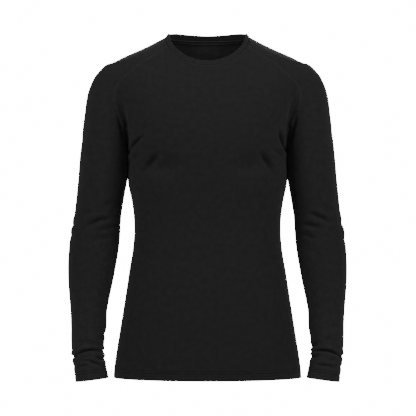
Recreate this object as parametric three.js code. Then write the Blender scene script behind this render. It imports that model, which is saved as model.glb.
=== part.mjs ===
// A long-sleeved crew-neck base layer top in fine jersey, filled out as it is when worn, with nobody in it.
// Millimetres, +Z up. The front faces -Y. The origin lies midway between the two high shoulder points.
// Every piece is a wall of cloth laid on one worn form: a body and two arms that run into each other
// above the armpits. The seams are curves on that form, and the pieces are grids stretched between them.
import * as THREE from 'three';

// Driving dimensions of the cloth and its seams
const wall = 1.5;
const hemWall = 2.5;
const seamGap = 0.3;
const hemHeight = -713;
const cuffHeight = -715;
const hemSideLift = 2;
const hemTurn = 20;
const cuffTurn = 18;
const armpitHeight = -238;
const sleeveClearance = 1.7;
const clearanceRun = 18;

// Driving dimensions of the neck: the seam of the band, then the band itself
const neck = { halfWidth: 86.5, sideHeight: -3, frontDrop: 62, backDrop: 4.5, axisY: -8 };
const band = { thickness: 2.4, crown: 0.7 };
const bandFront = { inward: 10, rise: 9.7 };
const bandSide = { inward: 12, rise: 7 };
const bandBack = { inward: 6, rise: 11.7 };

// How finely each piece is divided
const panelColumns = 20;
const sleeveColumns = 20;
const capRows = 14;
const bodyRows = 14;
const armRows = 19;
const relaxRounds = 60;
const castStep = 5;
const denseSteps = 160;

// The body: half its width, and how far it reaches forward and back, at each height.
// The power is 2 for an ellipse and more for a squarer section.
const bodySections = [
  { z: 16, halfWidth: 56, front: 42, back: 54, power: 2.1 },
  { z: 0, halfWidth: 81, front: 51, back: 63, power: 2.1 },
  { z: -25, halfWidth: 129, front: 66, back: 80, power: 2.15 },
  { z: -50, halfWidth: 181, front: 79, back: 92, power: 2.2 },
  { z: -80, halfWidth: 200, front: 95, back: 101, power: 2.25 },
  { z: -110, halfWidth: 197, front: 108, back: 108, power: 2.3 },
  { z: -150, halfWidth: 186, front: 118, back: 113, power: 2.35 },
  { z: -196, halfWidth: 173, front: 122, back: 112, power: 2.35 },
  { z: -238, halfWidth: 167.5, front: 119, back: 107, power: 2.35 },
  { z: -305, halfWidth: 164.5, front: 109, back: 101, power: 2.35 },
  { z: -350, halfWidth: 155.5, front: 102, back: 95, power: 2.35 },
  { z: -395, halfWidth: 151.2, front: 98, back: 92, power: 2.35 },
  { z: -440, halfWidth: 153.8, front: 98, back: 93, power: 2.35 },
  { z: -490, halfWidth: 162, front: 101, back: 100, power: 2.3 },
  { z: -555, halfWidth: 171.7, front: 106, back: 110, power: 2.3 },
  { z: -620, halfWidth: 181.8, front: 110, back: 117, power: 2.3 },
  { z: -690, halfWidth: 192.7, front: 114, back: 119, power: 2.3 },
  { z: -725, halfWidth: 195, front: 115, back: 119, power: 2.3 },
];

// One arm: its centre, half its width seen from the front, and half its depth seen from the side.
const armSections = [
  { z: -60, centreX: 169, halfWidth: 42.5, centreY: 6, halfDepth: 41 },
  { z: -71, centreX: 177, halfWidth: 46, centreY: 7, halfDepth: 49 },
  { z: -88, centreX: 187, halfWidth: 49.5, centreY: 8, halfDepth: 56 },
  { z: -121, centreX: 197.5, halfWidth: 52, centreY: 9, halfDepth: 61 },
  { z: -171, centreX: 204, halfWidth: 52.7, centreY: 9, halfDepth: 63 },
  { z: -238, centreX: 210.8, halfWidth: 53.5, centreY: 9, halfDepth: 62 },
  { z: -271, centreX: 214, halfWidth: 53.5, centreY: 9, halfDepth: 60 },
  { z: -290, centreX: 216.6, halfWidth: 52.6, centreY: 9, halfDepth: 59 },
  { z: -304, centreX: 218.9, halfWidth: 51.4, centreY: 9, halfDepth: 58 },
  { z: -371, centreX: 229.2, halfWidth: 48, centreY: 9, halfDepth: 52 },
  { z: -404, centreX: 233.7, halfWidth: 50.3, centreY: 7, halfDepth: 49 },
  { z: -438, centreX: 236.9, halfWidth: 51, centreY: 4, halfDepth: 47 },
  { z: -471, centreX: 240.4, halfWidth: 49.6, centreY: 0, halfDepth: 46 },
  { z: -505, centreX: 243.4, halfWidth: 46.4, centreY: -5, halfDepth: 43 },
  { z: -538, centreX: 245.8, halfWidth: 41.9, centreY: -9, halfDepth: 40 },
  { z: -572, centreX: 247.5, halfWidth: 37.2, centreY: -13, halfDepth: 37 },
  { z: -605, centreX: 247.4, halfWidth: 35.9, centreY: -16, halfDepth: 35 },
  { z: -640, centreX: 249.6, halfWidth: 33, centreY: -19, halfDepth: 33 },
  { z: -672, centreX: 247.4, halfWidth: 32.6, centreY: -21, halfDepth: 32 },
  { z: -722, centreX: 238.8, halfWidth: 34, centreY: -23, halfDepth: 32.5 },
];

// The seam that joins a sleeve to the front and to the back, from the neck down to the armpit.
// Where it can be seen it is given by x and z, and under the arm by y and z on the side of the body.
const frontSeamSeen = [
  { x: 104, z: -41 }, { x: 130, z: -56 }, { x: 149, z: -69 }, { x: 171, z: -89 }, { x: 189, z: -110 },
  { x: 192.5, z: -130 }, { x: 187, z: -154 }, { x: 178, z: -175 }, { x: 170.3, z: -192 },
];
const frontSeamUnder = [
  { y: -31, z: -204 }, { y: -24, z: -219 }, { y: -12, z: -232 }, { y: 0, z: armpitHeight },
];
const backSeamSeen = [
  { x: 88, z: -29 }, { x: 118, z: -51 }, { x: 147, z: -77 }, { x: 171, z: -104 },
  { x: 184, z: -130 }, { x: 183, z: -154 }, { x: 175, z: -175 }, { x: 165.2, z: -192 },
];
const backSeamUnder = [
  { y: 40, z: -205 }, { y: 33, z: -219 }, { y: 16, z: -232 }, { y: 0, z: armpitHeight },
];
const seamMeetsNeck = { front: -23, back: 57 };

// The line along the top of the shoulder and down the outside of the arm, to the level of the armpit.
const shoulderLine = [
  { x: 86.5, z: -3 }, { x: 132, z: -25 }, { x: 187, z: -50 }, { x: 213, z: -63 }, { x: 234, z: -86 },
  { x: 249, z: -121 }, { x: 256, z: -160 }, { x: 260, z: -205 }, { x: 264, z: -248 },
];

// The largest folds, each along a straight line seen from the front or the back, from (x1, z1) to (x2, z2).
// A positive depth is a trough, and a negative one is a ridge.
const folds = [
  { face: 'front', x1: -165, z1: -240, x2: -134, z2: -211, width: 11, depth: 3 },
  { face: 'front', x1: -101, z1: -251, x2: -127, z2: -276, width: 12, depth: 2.5 },
  { face: 'front', x1: 165, z1: -226, x2: 153, z2: -206, width: 10, depth: 3 },
  { face: 'front', x1: 115, z1: -250, x2: 143, z2: -286, width: 12, depth: 2.5 },
  { face: 'front', x1: 103, z1: -353, x2: 135, z2: -437, width: 13, depth: -2 },
  { face: 'front', x1: -242, z1: -395, x2: -212, z2: -385, width: 10, depth: 3.5 },
  { face: 'front', x1: -216, z1: -403, x2: -192, z2: -397, width: 9, depth: 3 },
  { face: 'front', x1: 215, z1: -373, x2: 247, z2: -388, width: 10, depth: 3.5 },
  { face: 'front', x1: 203, z1: -395, x2: 231, z2: -397, width: 9, depth: 3 },
  { face: 'front', x1: 200, z1: -415, x2: 223, z2: -419, width: 9, depth: 3 },
  { face: 'front', x1: -280, z1: -668, x2: -243, z2: -655, width: 9, depth: 3.5 },
  { face: 'front', x1: -243, z1: -655, x2: -214, z2: -662, width: 9, depth: 3.5 },
  { face: 'front', x1: 219, z1: -660, x2: 243, z2: -655, width: 9, depth: 3.5 },
  { face: 'front', x1: 243, z1: -655, x2: 274, z2: -669, width: 9, depth: 3.5 },
  { face: 'back', x1: -158, z1: -236, x2: -120, z2: -205, width: 12, depth: 3 },
  { face: 'back', x1: 160, z1: -232, x2: 126, z2: -196, width: 12, depth: 3 },
  { face: 'back', x1: -120, z1: -392, x2: -38, z2: -378, width: 13, depth: 3 },
  { face: 'back', x1: 112, z1: -400, x2: 30, z2: -389, width: 13, depth: 2.5 },
  { face: 'back', x1: -96, z1: -430, x2: -20, z2: -419, width: 13, depth: 2.5 },
  { face: 'back', x1: 118, z1: -440, x2: 52, z2: -424, width: 12, depth: 2.5 },
  { face: 'back', x1: -268, z1: -398, x2: -226, z2: -389, width: 11, depth: 3 },
  { face: 'back', x1: 266, z1: -388, x2: 224, z2: -397, width: 11, depth: 3 },
  { face: 'back', x1: -274, z1: -664, x2: -222, z2: -655, width: 9, depth: 3 },
  { face: 'back', x1: 273, z1: -658, x2: 224, z2: -664, width: 9, depth: 3 },
];

const cloth = { color: 0x212122, roughness: 0.92, metalness: 0 };
const bandCloth = { color: 0x1f1f20, roughness: 0.9, metalness: 0 };

// Small tools: steps, tables and lines

function smoothStep(from, to, value) {
  const t = THREE.MathUtils.clamp((value - from) / (to - from), 0, 1);
  return t * t * (3 - 2 * t);
}

// A column of a table as a smooth curve of the height z, through every row.
function column(rows, name) {
  const slope = rows.map((row, i) => {
    const above = rows[Math.max(i - 1, 0)];
    const below = rows[Math.min(i + 1, rows.length - 1)];
    return (above[name] - below[name]) / (above.z - below.z);
  });
  return (z) => {
    const held = THREE.MathUtils.clamp(z, rows.at(-1).z, rows[0].z);
    let i = 0;
    while (i < rows.length - 2 && rows[i + 1].z > held) i += 1;
    const span = rows[i + 1].z - rows[i].z;
    const t = (held - rows[i].z) / span;
    const start = rows[i][name] * (1 + 2 * t) * (1 - t) ** 2 + slope[i] * span * t * (1 - t) ** 2;
    const end = rows[i + 1][name] * (3 - 2 * t) * t ** 2 + slope[i + 1] * span * (t - 1) * t ** 2;
    return start + end;
  };
}

function columns(rows, ...names) {
  return Object.fromEntries(names.map((name) => [name, column(rows, name)]));
}

// A polyline shared out again into equal lengths, with both of its ends kept.
function shareOut(points, parts) {
  const reach = [0];
  points.slice(1).forEach((point, i) => reach.push(reach[i] + point.distanceTo(points[i])));
  let k = 1;
  return Array.from({ length: parts + 1 }, (_, i) => {
    const goal = (reach.at(-1) * i) / parts;
    while (k < points.length - 1 && reach[k] < goal) k += 1;
    const t = (goal - reach[k - 1]) / (reach[k] - reach[k - 1]);
    return points[k - 1].clone().lerp(points[k], THREE.MathUtils.clamp(t, 0, 1));
  });
}

function mirrored(point) {
  return new THREE.Vector3(-point.x, point.y, point.z);
}

// The worn form: signed distances, negative inside

const bodyAt = columns(bodySections, 'halfWidth', 'front', 'back', 'power');
const armAt = columns(armSections, 'centreX', 'halfWidth', 'centreY', 'halfDepth');

function sectionDistance(x, y, halfX, halfY, power) {
  const u = Math.abs(x) / halfX;
  const v = Math.abs(y) / halfY;
  const r = Math.max((u ** power + v ** power) ** (1 / power), 1e-6);
  return (r - 1) / Math.hypot((u / r) ** (power - 1) / halfX, (v / r) ** (power - 1) / halfY);
}

function bodyDistance(p) {
  const reach = p.y < 0 ? bodyAt.front(p.z) : bodyAt.back(p.z);
  const side = sectionDistance(p.x, p.y, bodyAt.halfWidth(p.z), reach, bodyAt.power(p.z));
  return Math.max(side, p.z - bodySections[0].z);
}

function armDistance(p) {
  const x = Math.abs(p.x) - armAt.centreX(p.z);
  const y = p.y - armAt.centreY(p.z);
  const side = sectionDistance(x, y, armAt.halfWidth(p.z), armAt.halfDepth(p.z), 2);
  return Math.max(side, p.z - armSections[0].z);
}

// Body and arm as one, with a soft valley between them that gets sharper towards the armpit.
const valley = { top: 24, bottom: 4, from: -90, to: -195 };

function wornForm(p) {
  const soft = THREE.MathUtils.lerp(valley.top, valley.bottom, smoothStep(valley.from, valley.to, p.z));
  const body = bodyDistance(p);
  const arm = armDistance(p);
  const near = Math.max(soft - Math.abs(body - arm), 0) / soft;
  return Math.min(body, arm) - (near * near * soft) / 4;
}

// The form that the front and back lie on leaves the arms out below the top of the armpit.
const armpitTop = { from: -200, to: -190 };

function bodyForm(p) {
  return THREE.MathUtils.lerp(bodyDistance(p), wornForm(p), smoothStep(armpitTop.from, armpitTop.to, p.z));
}

function slopeOf(form, p) {
  const step = 0.5;
  const along = ['x', 'y', 'z'].map((axis) => {
    const ahead = p.clone();
    const behind = p.clone();
    ahead[axis] += step;
    behind[axis] -= step;
    return (form(ahead) - form(behind)) / (2 * step);
  });
  return new THREE.Vector3(...along);
}

function outwardOf(form, p) {
  return slopeOf(form, p).normalize();
}

// Moves a point along the form's slope until it lies on the form.
function layOn(form, point) {
  const p = point.clone();
  for (let round = 0; round < 14; round += 1) {
    const slope = slopeOf(form, p);
    const move = -form(p) / Math.max(slope.lengthSq(), 0.05);
    p.addScaledVector(slope, THREE.MathUtils.clamp(move, -12, 12));
  }
  return p;
}

// The first place where a line from a point crosses the form.
function crossing(form, from, direction) {
  const inside = form(from) < 0;
  const at = (distance) => from.clone().addScaledVector(direction, distance);
  let far = castStep;
  while (form(at(far)) < 0 === inside && far < 400) far += castStep;
  let near = far - castStep;
  for (let round = 0; round < 22; round += 1) {
    const middle = (near + far) / 2;
    if (form(at(middle)) < 0 === inside) near = middle;
    else far = middle;
  }
  return at(far);
}

// The seams, on the side where x is positive

function seenPoint({ x, z }, facing) {
  return crossing(wornForm, new THREE.Vector3(x, facing * 200, z), new THREE.Vector3(0, -facing, 0));
}

function bodySidePoint({ y, z }) {
  const reach = y < 0 ? bodyAt.front(z) : bodyAt.back(z);
  const power = bodyAt.power(z);
  const x = bodyAt.halfWidth(z) * (1 - (Math.abs(y) / reach) ** power) ** (1 / power);
  return new THREE.Vector3(x, y, z);
}

// The seam of the neckband. The turn is 0 at the centre front, a quarter circle at the shoulder
// and a half circle at the centre back.
function neckPoint(turn) {
  const facing = Math.cos(turn);
  const drop = facing > 0 ? neck.frontDrop : neck.backDrop;
  const z = neck.sideHeight - drop * Math.abs(facing);
  const x = neck.halfWidth * Math.sin(turn);
  const reach = facing > 0 ? -bodyAt.front(z) : bodyAt.back(z);
  const power = bodyAt.power(z);
  const y = reach * Math.max(1 - (x / bodyAt.halfWidth(z)) ** power, 0) ** (1 / power);
  return new THREE.Vector3(x, y, z);
}

function neckArc(fromTurn, toTurn, parts) {
  const dense = Array.from({ length: denseSteps + 1 }, (_, i) =>
    neckPoint(THREE.MathUtils.lerp(fromTurn, toTurn, i / denseSteps)));
  return shareOut(dense, parts).map((point) => layOn(wornForm, point));
}

const neckTurn = {
  front: Math.acos((neck.sideHeight - seamMeetsNeck.front) / neck.frontDrop),
  back: Math.PI - Math.asin(seamMeetsNeck.back / neck.halfWidth),
};

function raglanSeam(turn, facing, seen, under) {
  const knots = [neckPoint(turn), ...seen.map((row) => seenPoint(row, facing)), ...under.map(bodySidePoint)];
  const curve = new THREE.CatmullRomCurve3(knots, false, 'centripetal');
  return shareOut(curve.getPoints(denseSteps), capRows).map((point) => layOn(bodyForm, point));
}

const frontSeam = raglanSeam(neckTurn.front, -1, frontSeamSeen, frontSeamUnder);
const backSeam = raglanSeam(neckTurn.back, 1, backSeamSeen, backSeamUnder);
frontSeam[0] = neckArc(0, neckTurn.front, 1).at(-1);
backSeam[0] = neckArc(neckTurn.back, Math.PI, 1)[0];
const armpit = frontSeam.at(-1);
backSeam[capRows] = armpit.clone();

// The form that a sleeve lies on stays clear of the body below the seam.
const seamPoints = [...frontSeam, ...backSeam];

function clearance(p) {
  const near = new THREE.Vector3(Math.abs(p.x), p.y, p.z);
  const nearest = Math.min(...seamPoints.map((point) => point.distanceTo(near)));
  return seamGap + (sleeveClearance - seamGap) * smoothStep(0, clearanceRun, nearest);
}

function sleeveForm(p) {
  const above = smoothStep(armpitTop.from, armpitTop.to, p.z);
  const under = above < 1 ? Math.max(armDistance(p), clearance(p) - bodyDistance(p)) : 0;
  return THREE.MathUtils.lerp(under, wornForm(p), above);
}

// Folds: how far the cloth lies in from the form, at a point that faces outward in a known direction

function foldDepth(p, outward) {
  return folds.reduce((sum, fold) => {
    const facing = fold.face === 'front' ? -outward.y : outward.y;
    const run = new THREE.Vector2(fold.x2 - fold.x1, fold.z2 - fold.z1);
    const to = new THREE.Vector2(p.x - fold.x1, p.z - fold.z1);
    const along = THREE.MathUtils.clamp(to.dot(run) / run.lengthSq(), 0, 1);
    const off = to.addScaledVector(run, -along).length() / fold.width;
    const taper = Math.sin(Math.PI * THREE.MathUtils.lerp(0.12, 0.88, along));
    return sum + fold.depth * taper * Math.exp(-off * off) * smoothStep(0, 0.5, facing);
  }, 0);
}

// Grids: each is a list of rows of points, from the top of the piece down

// A patch between four lines that share their corners.
function patchBetween(top, bottom, left, right) {
  const rows = left.length - 1;
  const last = top.length - 1;
  return left.map((_, i) => top.map((__, j) => {
    const v = i / rows;
    const u = j / last;
    const point = top[j].clone().multiplyScalar(1 - v).addScaledVector(bottom[j], v);
    point.addScaledVector(left[i], 1 - u).addScaledVector(right[i], u);
    point.addScaledVector(top[0], -(1 - u) * (1 - v)).addScaledVector(top[last], -u * (1 - v));
    return point.addScaledVector(bottom[0], -(1 - u) * v).addScaledVector(bottom[last], -u * v);
  }));
}

// Evens out the inside of a patch on its form, with its four edges held.
function relaxOn(form, grid) {
  for (let round = 0; round < relaxRounds; round += 1) {
    for (let i = 1; i < grid.length - 1; i += 1) {
      for (let j = 1; j < grid[i].length - 1; j += 1) {
        const middle = grid[i - 1][j].clone().add(grid[i + 1][j]).add(grid[i][j - 1]).add(grid[i][j + 1]);
        grid[i][j] = layOn(form, middle.multiplyScalar(0.25));
      }
    }
  }
  return grid;
}

// Half a section of the body, from the side where x is negative to the other one.
function halfSection(z, facing) {
  const reach = facing < 0 ? bodyAt.front(z) : bodyAt.back(z);
  const power = bodyAt.power(z);
  const dense = Array.from({ length: denseSteps + 1 }, (_, i) => {
    const turn = (Math.PI * i) / denseSteps;
    const x = -Math.sign(Math.cos(turn)) * Math.abs(Math.cos(turn)) ** (2 / power) * bodyAt.halfWidth(z);
    return new THREE.Vector3(x, facing * reach * Math.sin(turn) ** (2 / power), z);
  });
  return shareOut(dense, panelColumns);
}

function bodyPanel(facing, seam, neckLine) {
  const underarm = halfSection(armpitHeight, facing);
  underarm[0] = mirrored(armpit);
  underarm[panelColumns] = armpit.clone();
  const upper = relaxOn(bodyForm, patchBetween(neckLine, underarm, seam.map(mirrored), seam));
  const straight = armpitHeight - (hemHeight + hemTurn);
  const levels = Array.from({ length: bodyRows }, (_, i) => armpitHeight - (straight * (i + 1)) / bodyRows);
  levels.push(hemHeight + hemTurn - 2, hemHeight);
  const lower = levels.map((z) => halfSection(z, facing));
  lower.at(-1).forEach((point) => {
    point.z += hemSideLift * (point.x / bodyAt.halfWidth(hemHeight)) ** 2;
  });
  return [...upper, ...lower];
}

// One row of a sleeve: round the form from the front seam, over the outside and to the back seam.
// Rays start from a middle point between the seams and the outside, in a plane that bends to both seams.
function sleeveRow(front, outside, back) {
  const between = front.clone().add(back).multiplyScalar(0.5);
  const centre = between.clone().lerp(outside, 0.45);
  const out = outside.clone().sub(between).setY(0).normalize();
  const normal = new THREE.Vector3(0, 1, 0).cross(out);
  const turnOf = (point) => {
    const arm = point.clone().sub(centre);
    return Math.atan2(arm.y, arm.dot(out));
  };
  const closed = front.distanceTo(back) < 1;
  const turns = closed ? [-Math.PI, Math.PI] : [turnOf(front), turnOf(back)];
  const shifts = [front, back].map((point) => point.clone().sub(centre).dot(normal));
  const dense = Array.from({ length: denseSteps + 1 }, (_, i) => {
    const t = i / denseSteps;
    const turn = THREE.MathUtils.lerp(...turns, t);
    const shift = closed ? 0 : THREE.MathUtils.lerp(...shifts, t) * (1 - Math.sin(Math.PI * t));
    const from = centre.clone().addScaledVector(normal, shift);
    const ray = out.clone().multiplyScalar(Math.cos(turn));
    ray.y += Math.sin(turn);
    return crossing(sleeveForm, from, ray);
  });
  const edgeAt = (point) => (point.z > armpitTop.from ? point.clone() : layOn(sleeveForm, point));
  dense[0] = edgeAt(front);
  dense[denseSteps] = closed ? dense[0].clone() : edgeAt(back);
  return shareOut(dense, sleeveColumns);
}

// The slant of the rings of an arm: the outside lies lower than the inside, and the back than the front.
const cuffSlant = 0.13;
const cuffLean = 0.09;

function armRing(z, lean) {
  const centre = new THREE.Vector3(armAt.centreX(z), armAt.centreY(z), z);
  const out = new THREE.Vector3(1, 0, -cuffSlant).normalize();
  const back = new THREE.Vector3(0, 1, -lean).normalize();
  const dense = Array.from({ length: denseSteps + 1 }, (_, i) => {
    const turn = Math.PI * ((2 * i) / denseSteps - 1);
    const ray = out.clone().multiplyScalar(Math.cos(turn)).addScaledVector(back, Math.sin(turn));
    return crossing(sleeveForm, centre, ray);
  });
  return shareOut(dense, sleeveColumns);
}

function sleeveGrid() {
  const knots = shoulderLine.map(({ x, z }) =>
    new THREE.Vector3(x, armAt.centreY(z) * smoothStep(0, -90, z), z));
  const line = new THREE.CatmullRomCurve3(knots, false, 'centripetal');
  const outside = shareOut(line.getPoints(denseSteps), capRows);
  const cap = frontSeam.map((front, i) => sleeveRow(front, outside[i], backSeam[i]));
  cap[0] = neckArc(neckTurn.front, neckTurn.back, sleeveColumns);
  const top = (armpit.z + outside[capRows].z) / 2;
  const stitch = cuffHeight + cuffTurn;
  const levels = Array.from({ length: armRows }, (_, i) => top + ((stitch - top) * (i + 1)) / armRows);
  levels.push(stitch - 2, cuffHeight);
  const rings = levels.map((z) => armRing(z, cuffLean * smoothStep(-350, -600, z)));
  return [...cap, ...rings];
}

// Solids: a grid and its own inner side, joined along their edges

// Draws an edge point back from its seam by half the gap, square to the seam and along the cloth.
function drawnBack(point, next, before, after) {
  const seam = after.clone().sub(before).normalize();
  const inward = next.clone().sub(point);
  inward.addScaledVector(seam, -inward.dot(seam)).normalize();
  return point.clone().addScaledVector(inward, seamGap / 2);
}

function drawBackSides(grid, rows) {
  const last = grid[0].length - 1;
  const edges = [[0, 1], [last, last - 1]];
  return grid.map((row, i) => row.map((point, j) => {
    const edge = edges.find(([edgeColumn]) => edgeColumn === j);
    if (!edge || i > rows) return point;
    const before = grid[Math.max(i - 1, 0)][j];
    const after = grid[Math.min(i + 1, grid.length - 1)][j];
    return drawnBack(point, row[edge[1]], before, after);
  }));
}

function drawBackTop(grid) {
  const last = grid[0].length - 1;
  const top = grid[0].map((point, j) =>
    drawnBack(point, grid[1][j], grid[0][Math.max(j - 1, 0)], grid[0][Math.min(j + 1, last)]));
  return [top, ...grid.slice(1)];
}

// The outer and inner points of a wall over a grid. The turned edge at the bottom is thicker.
// Both sides of a seam face the same way, down to where the sleeve turns under the arm.
function wallOver(form, grid) {
  const outer = [];
  const inner = [];
  grid.forEach((row, i) => {
    const thickness = i < grid.length - 2 ? wall : hemWall;
    outer.push([]);
    inner.push([]);
    row.forEach((point, j) => {
      const onSeam = i <= capRows && j % (row.length - 1) === 0 && point.z > armpitTop.from;
      const outward = outwardOf(onSeam ? wornForm : form, point);
      const folded = point.clone().addScaledVector(outward, -foldDepth(point, outward));
      outer[i].push(folded);
      inner[i].push(folded.clone().addScaledVector(outward, -thickness));
    });
  });
  return { outer, inner };
}

// A closed mesh from the two sides of a wall. From the row closedFrom on, the first and last
// columns are the same line, as on a tube.
function wallMesh(name, { outer, inner }, closedFrom, finish) {
  const rows = outer.length;
  const across = outer[0].length;
  const points = [];
  const index = [outer, inner].map((side) => side.map((row, i) => row.map((point, j) => {
    if (i >= closedFrom && j === across - 1) return -1;
    return points.push(point) - 1;
  })));
  index.forEach((side) => side.forEach((row) => {
    if (row[across - 1] === -1) row[across - 1] = row[0];
  }));
  const faces = [];
  const quad = (a, b, c, d) => faces.push([a, b, c], [a, c, d]);
  const [out, inn] = index;
  for (let i = 0; i < rows - 1; i += 1) {
    for (let j = 0; j < across - 1; j += 1) {
      quad(out[i][j], out[i + 1][j], out[i + 1][j + 1], out[i][j + 1]);
      quad(inn[i][j], inn[i][j + 1], inn[i + 1][j + 1], inn[i + 1][j]);
    }
    if (i < closedFrom) {
      quad(out[i][0], inn[i][0], inn[i + 1][0], out[i + 1][0]);
      quad(out[i][across - 1], out[i + 1][across - 1], inn[i + 1][across - 1], inn[i][across - 1]);
    }
  }
  for (let j = 0; j < across - 1; j += 1) {
    quad(out[0][j], out[0][j + 1], inn[0][j + 1], inn[0][j]);
    quad(out[rows - 1][j], inn[rows - 1][j], inn[rows - 1][j + 1], out[rows - 1][j + 1]);
  }
  return meshOf(name, points, faces, finish);
}

// Faces are turned over together where they enclose a negative volume.
function meshOf(name, points, faces, finish) {
  const volume = faces.reduce((sum, [a, b, c]) => sum + points[a].dot(points[b].clone().cross(points[c])), 0);
  const turned = volume < 0 ? faces.map(([a, b, c]) => [a, c, b]) : faces;
  const geometry = new THREE.BufferGeometry();
  geometry.setAttribute('position', new THREE.Float32BufferAttribute(points.flatMap((p) => p.toArray()), 3));
  geometry.setIndex(turned.flat());
  geometry.computeVertexNormals();
  const mesh = new THREE.Mesh(geometry, new THREE.MeshStandardMaterial(finish));
  mesh.name = name;
  return mesh;
}

// The pieces

function panelMesh(name, facing, seam, neckLine) {
  const grid = drawBackTop(drawBackSides(bodyPanel(facing, seam, neckLine), Infinity));
  return wallMesh(name, wallOver(bodyForm, grid), Infinity, cloth);
}

function sleeveMesh(name, side) {
  const grid = drawBackTop(drawBackSides(sleeveGrid(), capRows - 1));
  const armpitEnd = grid[capRows];
  armpitEnd[0] = armpitEnd[0].clone().lerp(grid[capRows + 1][0], seamGap / 20);
  const placed = side < 0 ? grid.map((row) => row.map(mirrored)) : grid;
  return wallMesh(name, wallOver(sleeveForm, placed), capRows, cloth);
}

// The neckband: a folded strip that stands on the neck seam and leans in over it.
function bandMesh() {
  const sideArc = neckArc(neckTurn.front, neckTurn.back, sleeveColumns);
  const frontArc = frontNeckLine.slice(panelColumns / 2);
  const backArc = backNeckLine.slice(panelColumns / 2).reverse();
  const half = [...frontArc, ...sideArc.slice(1, -1), ...backArc];
  const ring = [...half, ...half.slice(1, -1).reverse().map(mirrored)];
  const points = [];
  ring.forEach((seam, i) => {
    const radial = new THREE.Vector3(seam.x, seam.y - neck.axisY, 0).normalize();
    const facing = -radial.y;
    const far = facing > 0 ? bandFront : bandBack;
    const inward = THREE.MathUtils.lerp(bandSide.inward, far.inward, facing * facing);
    const rise = THREE.MathUtils.lerp(bandSide.rise, far.rise, facing * facing);
    const up = radial.clone().multiplyScalar(-inward).setZ(rise);
    const height = up.length();
    up.normalize();
    const along = ring[(i + 1) % ring.length].clone().sub(ring.at(i - 1)).normalize();
    const outward = along.cross(up).normalize();
    if (outward.dot(radial) < 0) outward.negate();
    const seamOutward = outwardOf(wornForm, seam);
    const at = (share, lift, normal) => {
      const climb = THREE.MathUtils.lerp(seamGap / 2, height, share);
      return seam.clone().addScaledVector(up, climb).addScaledVector(normal, lift);
    };
    const { thickness, crown } = band;
    points.push(
      at(0, 0, seamOutward), at(0.2, crown * 0.6, outward),
      at(0.6, crown, outward), at(0.9, crown * 0.7, outward),
      at(1, -0.3 * thickness, outward), at(0.9, crown * 0.7 - thickness, outward),
      at(0.5, crown - thickness, outward), at(0, -wall, seamOutward),
    );
  });
  const sides = points.length / ring.length;
  const faces = [];
  ring.forEach((_, i) => {
    const here = i * sides;
    const next = ((i + 1) % ring.length) * sides;
    for (let k = 0; k < sides; k += 1) {
      const up = (k + 1) % sides;
      faces.push([here + k, next + k, next + up], [here + k, next + up, here + up]);
    }
  });
  return meshOf('neckband', points, faces, bandCloth);
}

const frontHalf = neckArc(0, neckTurn.front, panelColumns / 2);
const frontNeckLine = [...frontHalf.slice(1).reverse().map(mirrored), ...frontHalf];
const backHalf = neckArc(neckTurn.back, Math.PI, panelColumns / 2).reverse();
const backNeckLine = [...backHalf.slice(1).reverse().map(mirrored), ...backHalf];

const top = new THREE.Group();
top.add(
  panelMesh('front', -1, frontSeam, frontNeckLine),
  panelMesh('back', 1, backSeam, backNeckLine),
  sleeveMesh('sleeve_left', 1),
  sleeveMesh('sleeve_right', -1),
  bandMesh(),
);

export default top;
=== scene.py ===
import math
import bmesh
import bpy
import numpy as np
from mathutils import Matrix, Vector


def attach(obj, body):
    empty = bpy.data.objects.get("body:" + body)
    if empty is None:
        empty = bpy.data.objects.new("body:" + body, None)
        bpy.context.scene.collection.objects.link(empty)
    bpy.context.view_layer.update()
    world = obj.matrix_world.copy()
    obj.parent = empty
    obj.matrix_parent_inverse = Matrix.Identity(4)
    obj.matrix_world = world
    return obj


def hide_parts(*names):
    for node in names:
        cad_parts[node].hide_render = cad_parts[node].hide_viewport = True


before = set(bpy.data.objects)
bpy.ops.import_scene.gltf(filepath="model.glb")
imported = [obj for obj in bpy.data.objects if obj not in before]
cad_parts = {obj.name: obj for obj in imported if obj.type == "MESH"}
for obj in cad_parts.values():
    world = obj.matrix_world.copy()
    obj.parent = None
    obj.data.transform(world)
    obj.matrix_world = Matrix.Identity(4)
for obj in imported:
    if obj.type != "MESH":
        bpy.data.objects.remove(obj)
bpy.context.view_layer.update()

millimetre = 0.001

# Main sizes of the cut
cut = {
    "hemHeight": -713.8, "hemSideLift": 2.0, "hemTurn": 20.0,
    "cuffHeight": -715.8, "cuffTurn": 18.0,
    "armpitHeight": -238.0, "armpitBlend": (-200.0, -190.0),
    "seamGap": 0.3, "sleeveClearance": 2.7, "calmRun": 9.0, "clearanceRun": 18.0, "ease": 1.0,
    "underArmFrom": -194.0, "calmBelow": -180.0,
    "clothThickness": 0.8, "foldRadius": 0.95, "needleGap": 5.0,
}

# The body, as half its width and its reach forward and back at each height
bodySections = {
    "z": (16, 0, -25, -50, -80, -110, -150, -196, -238, -305, -350, -395, -440, -490, -555, -620, -690, -725),
    "halfWidth": (56, 81, 129, 181, 200, 197, 186, 173, 167.5, 164.5, 155.5, 151.2, 153.8, 162, 171.7,
                  181.8, 192.7, 195),
    "front": (42, 51, 66, 79, 95, 108, 118, 122, 119, 109, 102, 98, 98, 101, 106, 110, 114, 115),
    "back": (54, 63, 80, 92, 101, 108, 113, 112, 107, 101, 95, 92, 93, 100, 110, 117, 119, 119),
    "power": (2.1, 2.1, 2.15, 2.2, 2.25, 2.3, 2.35, 2.35, 2.35, 2.35, 2.35, 2.35, 2.35, 2.3, 2.3,
              2.3, 2.3, 2.3),
}

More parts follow.
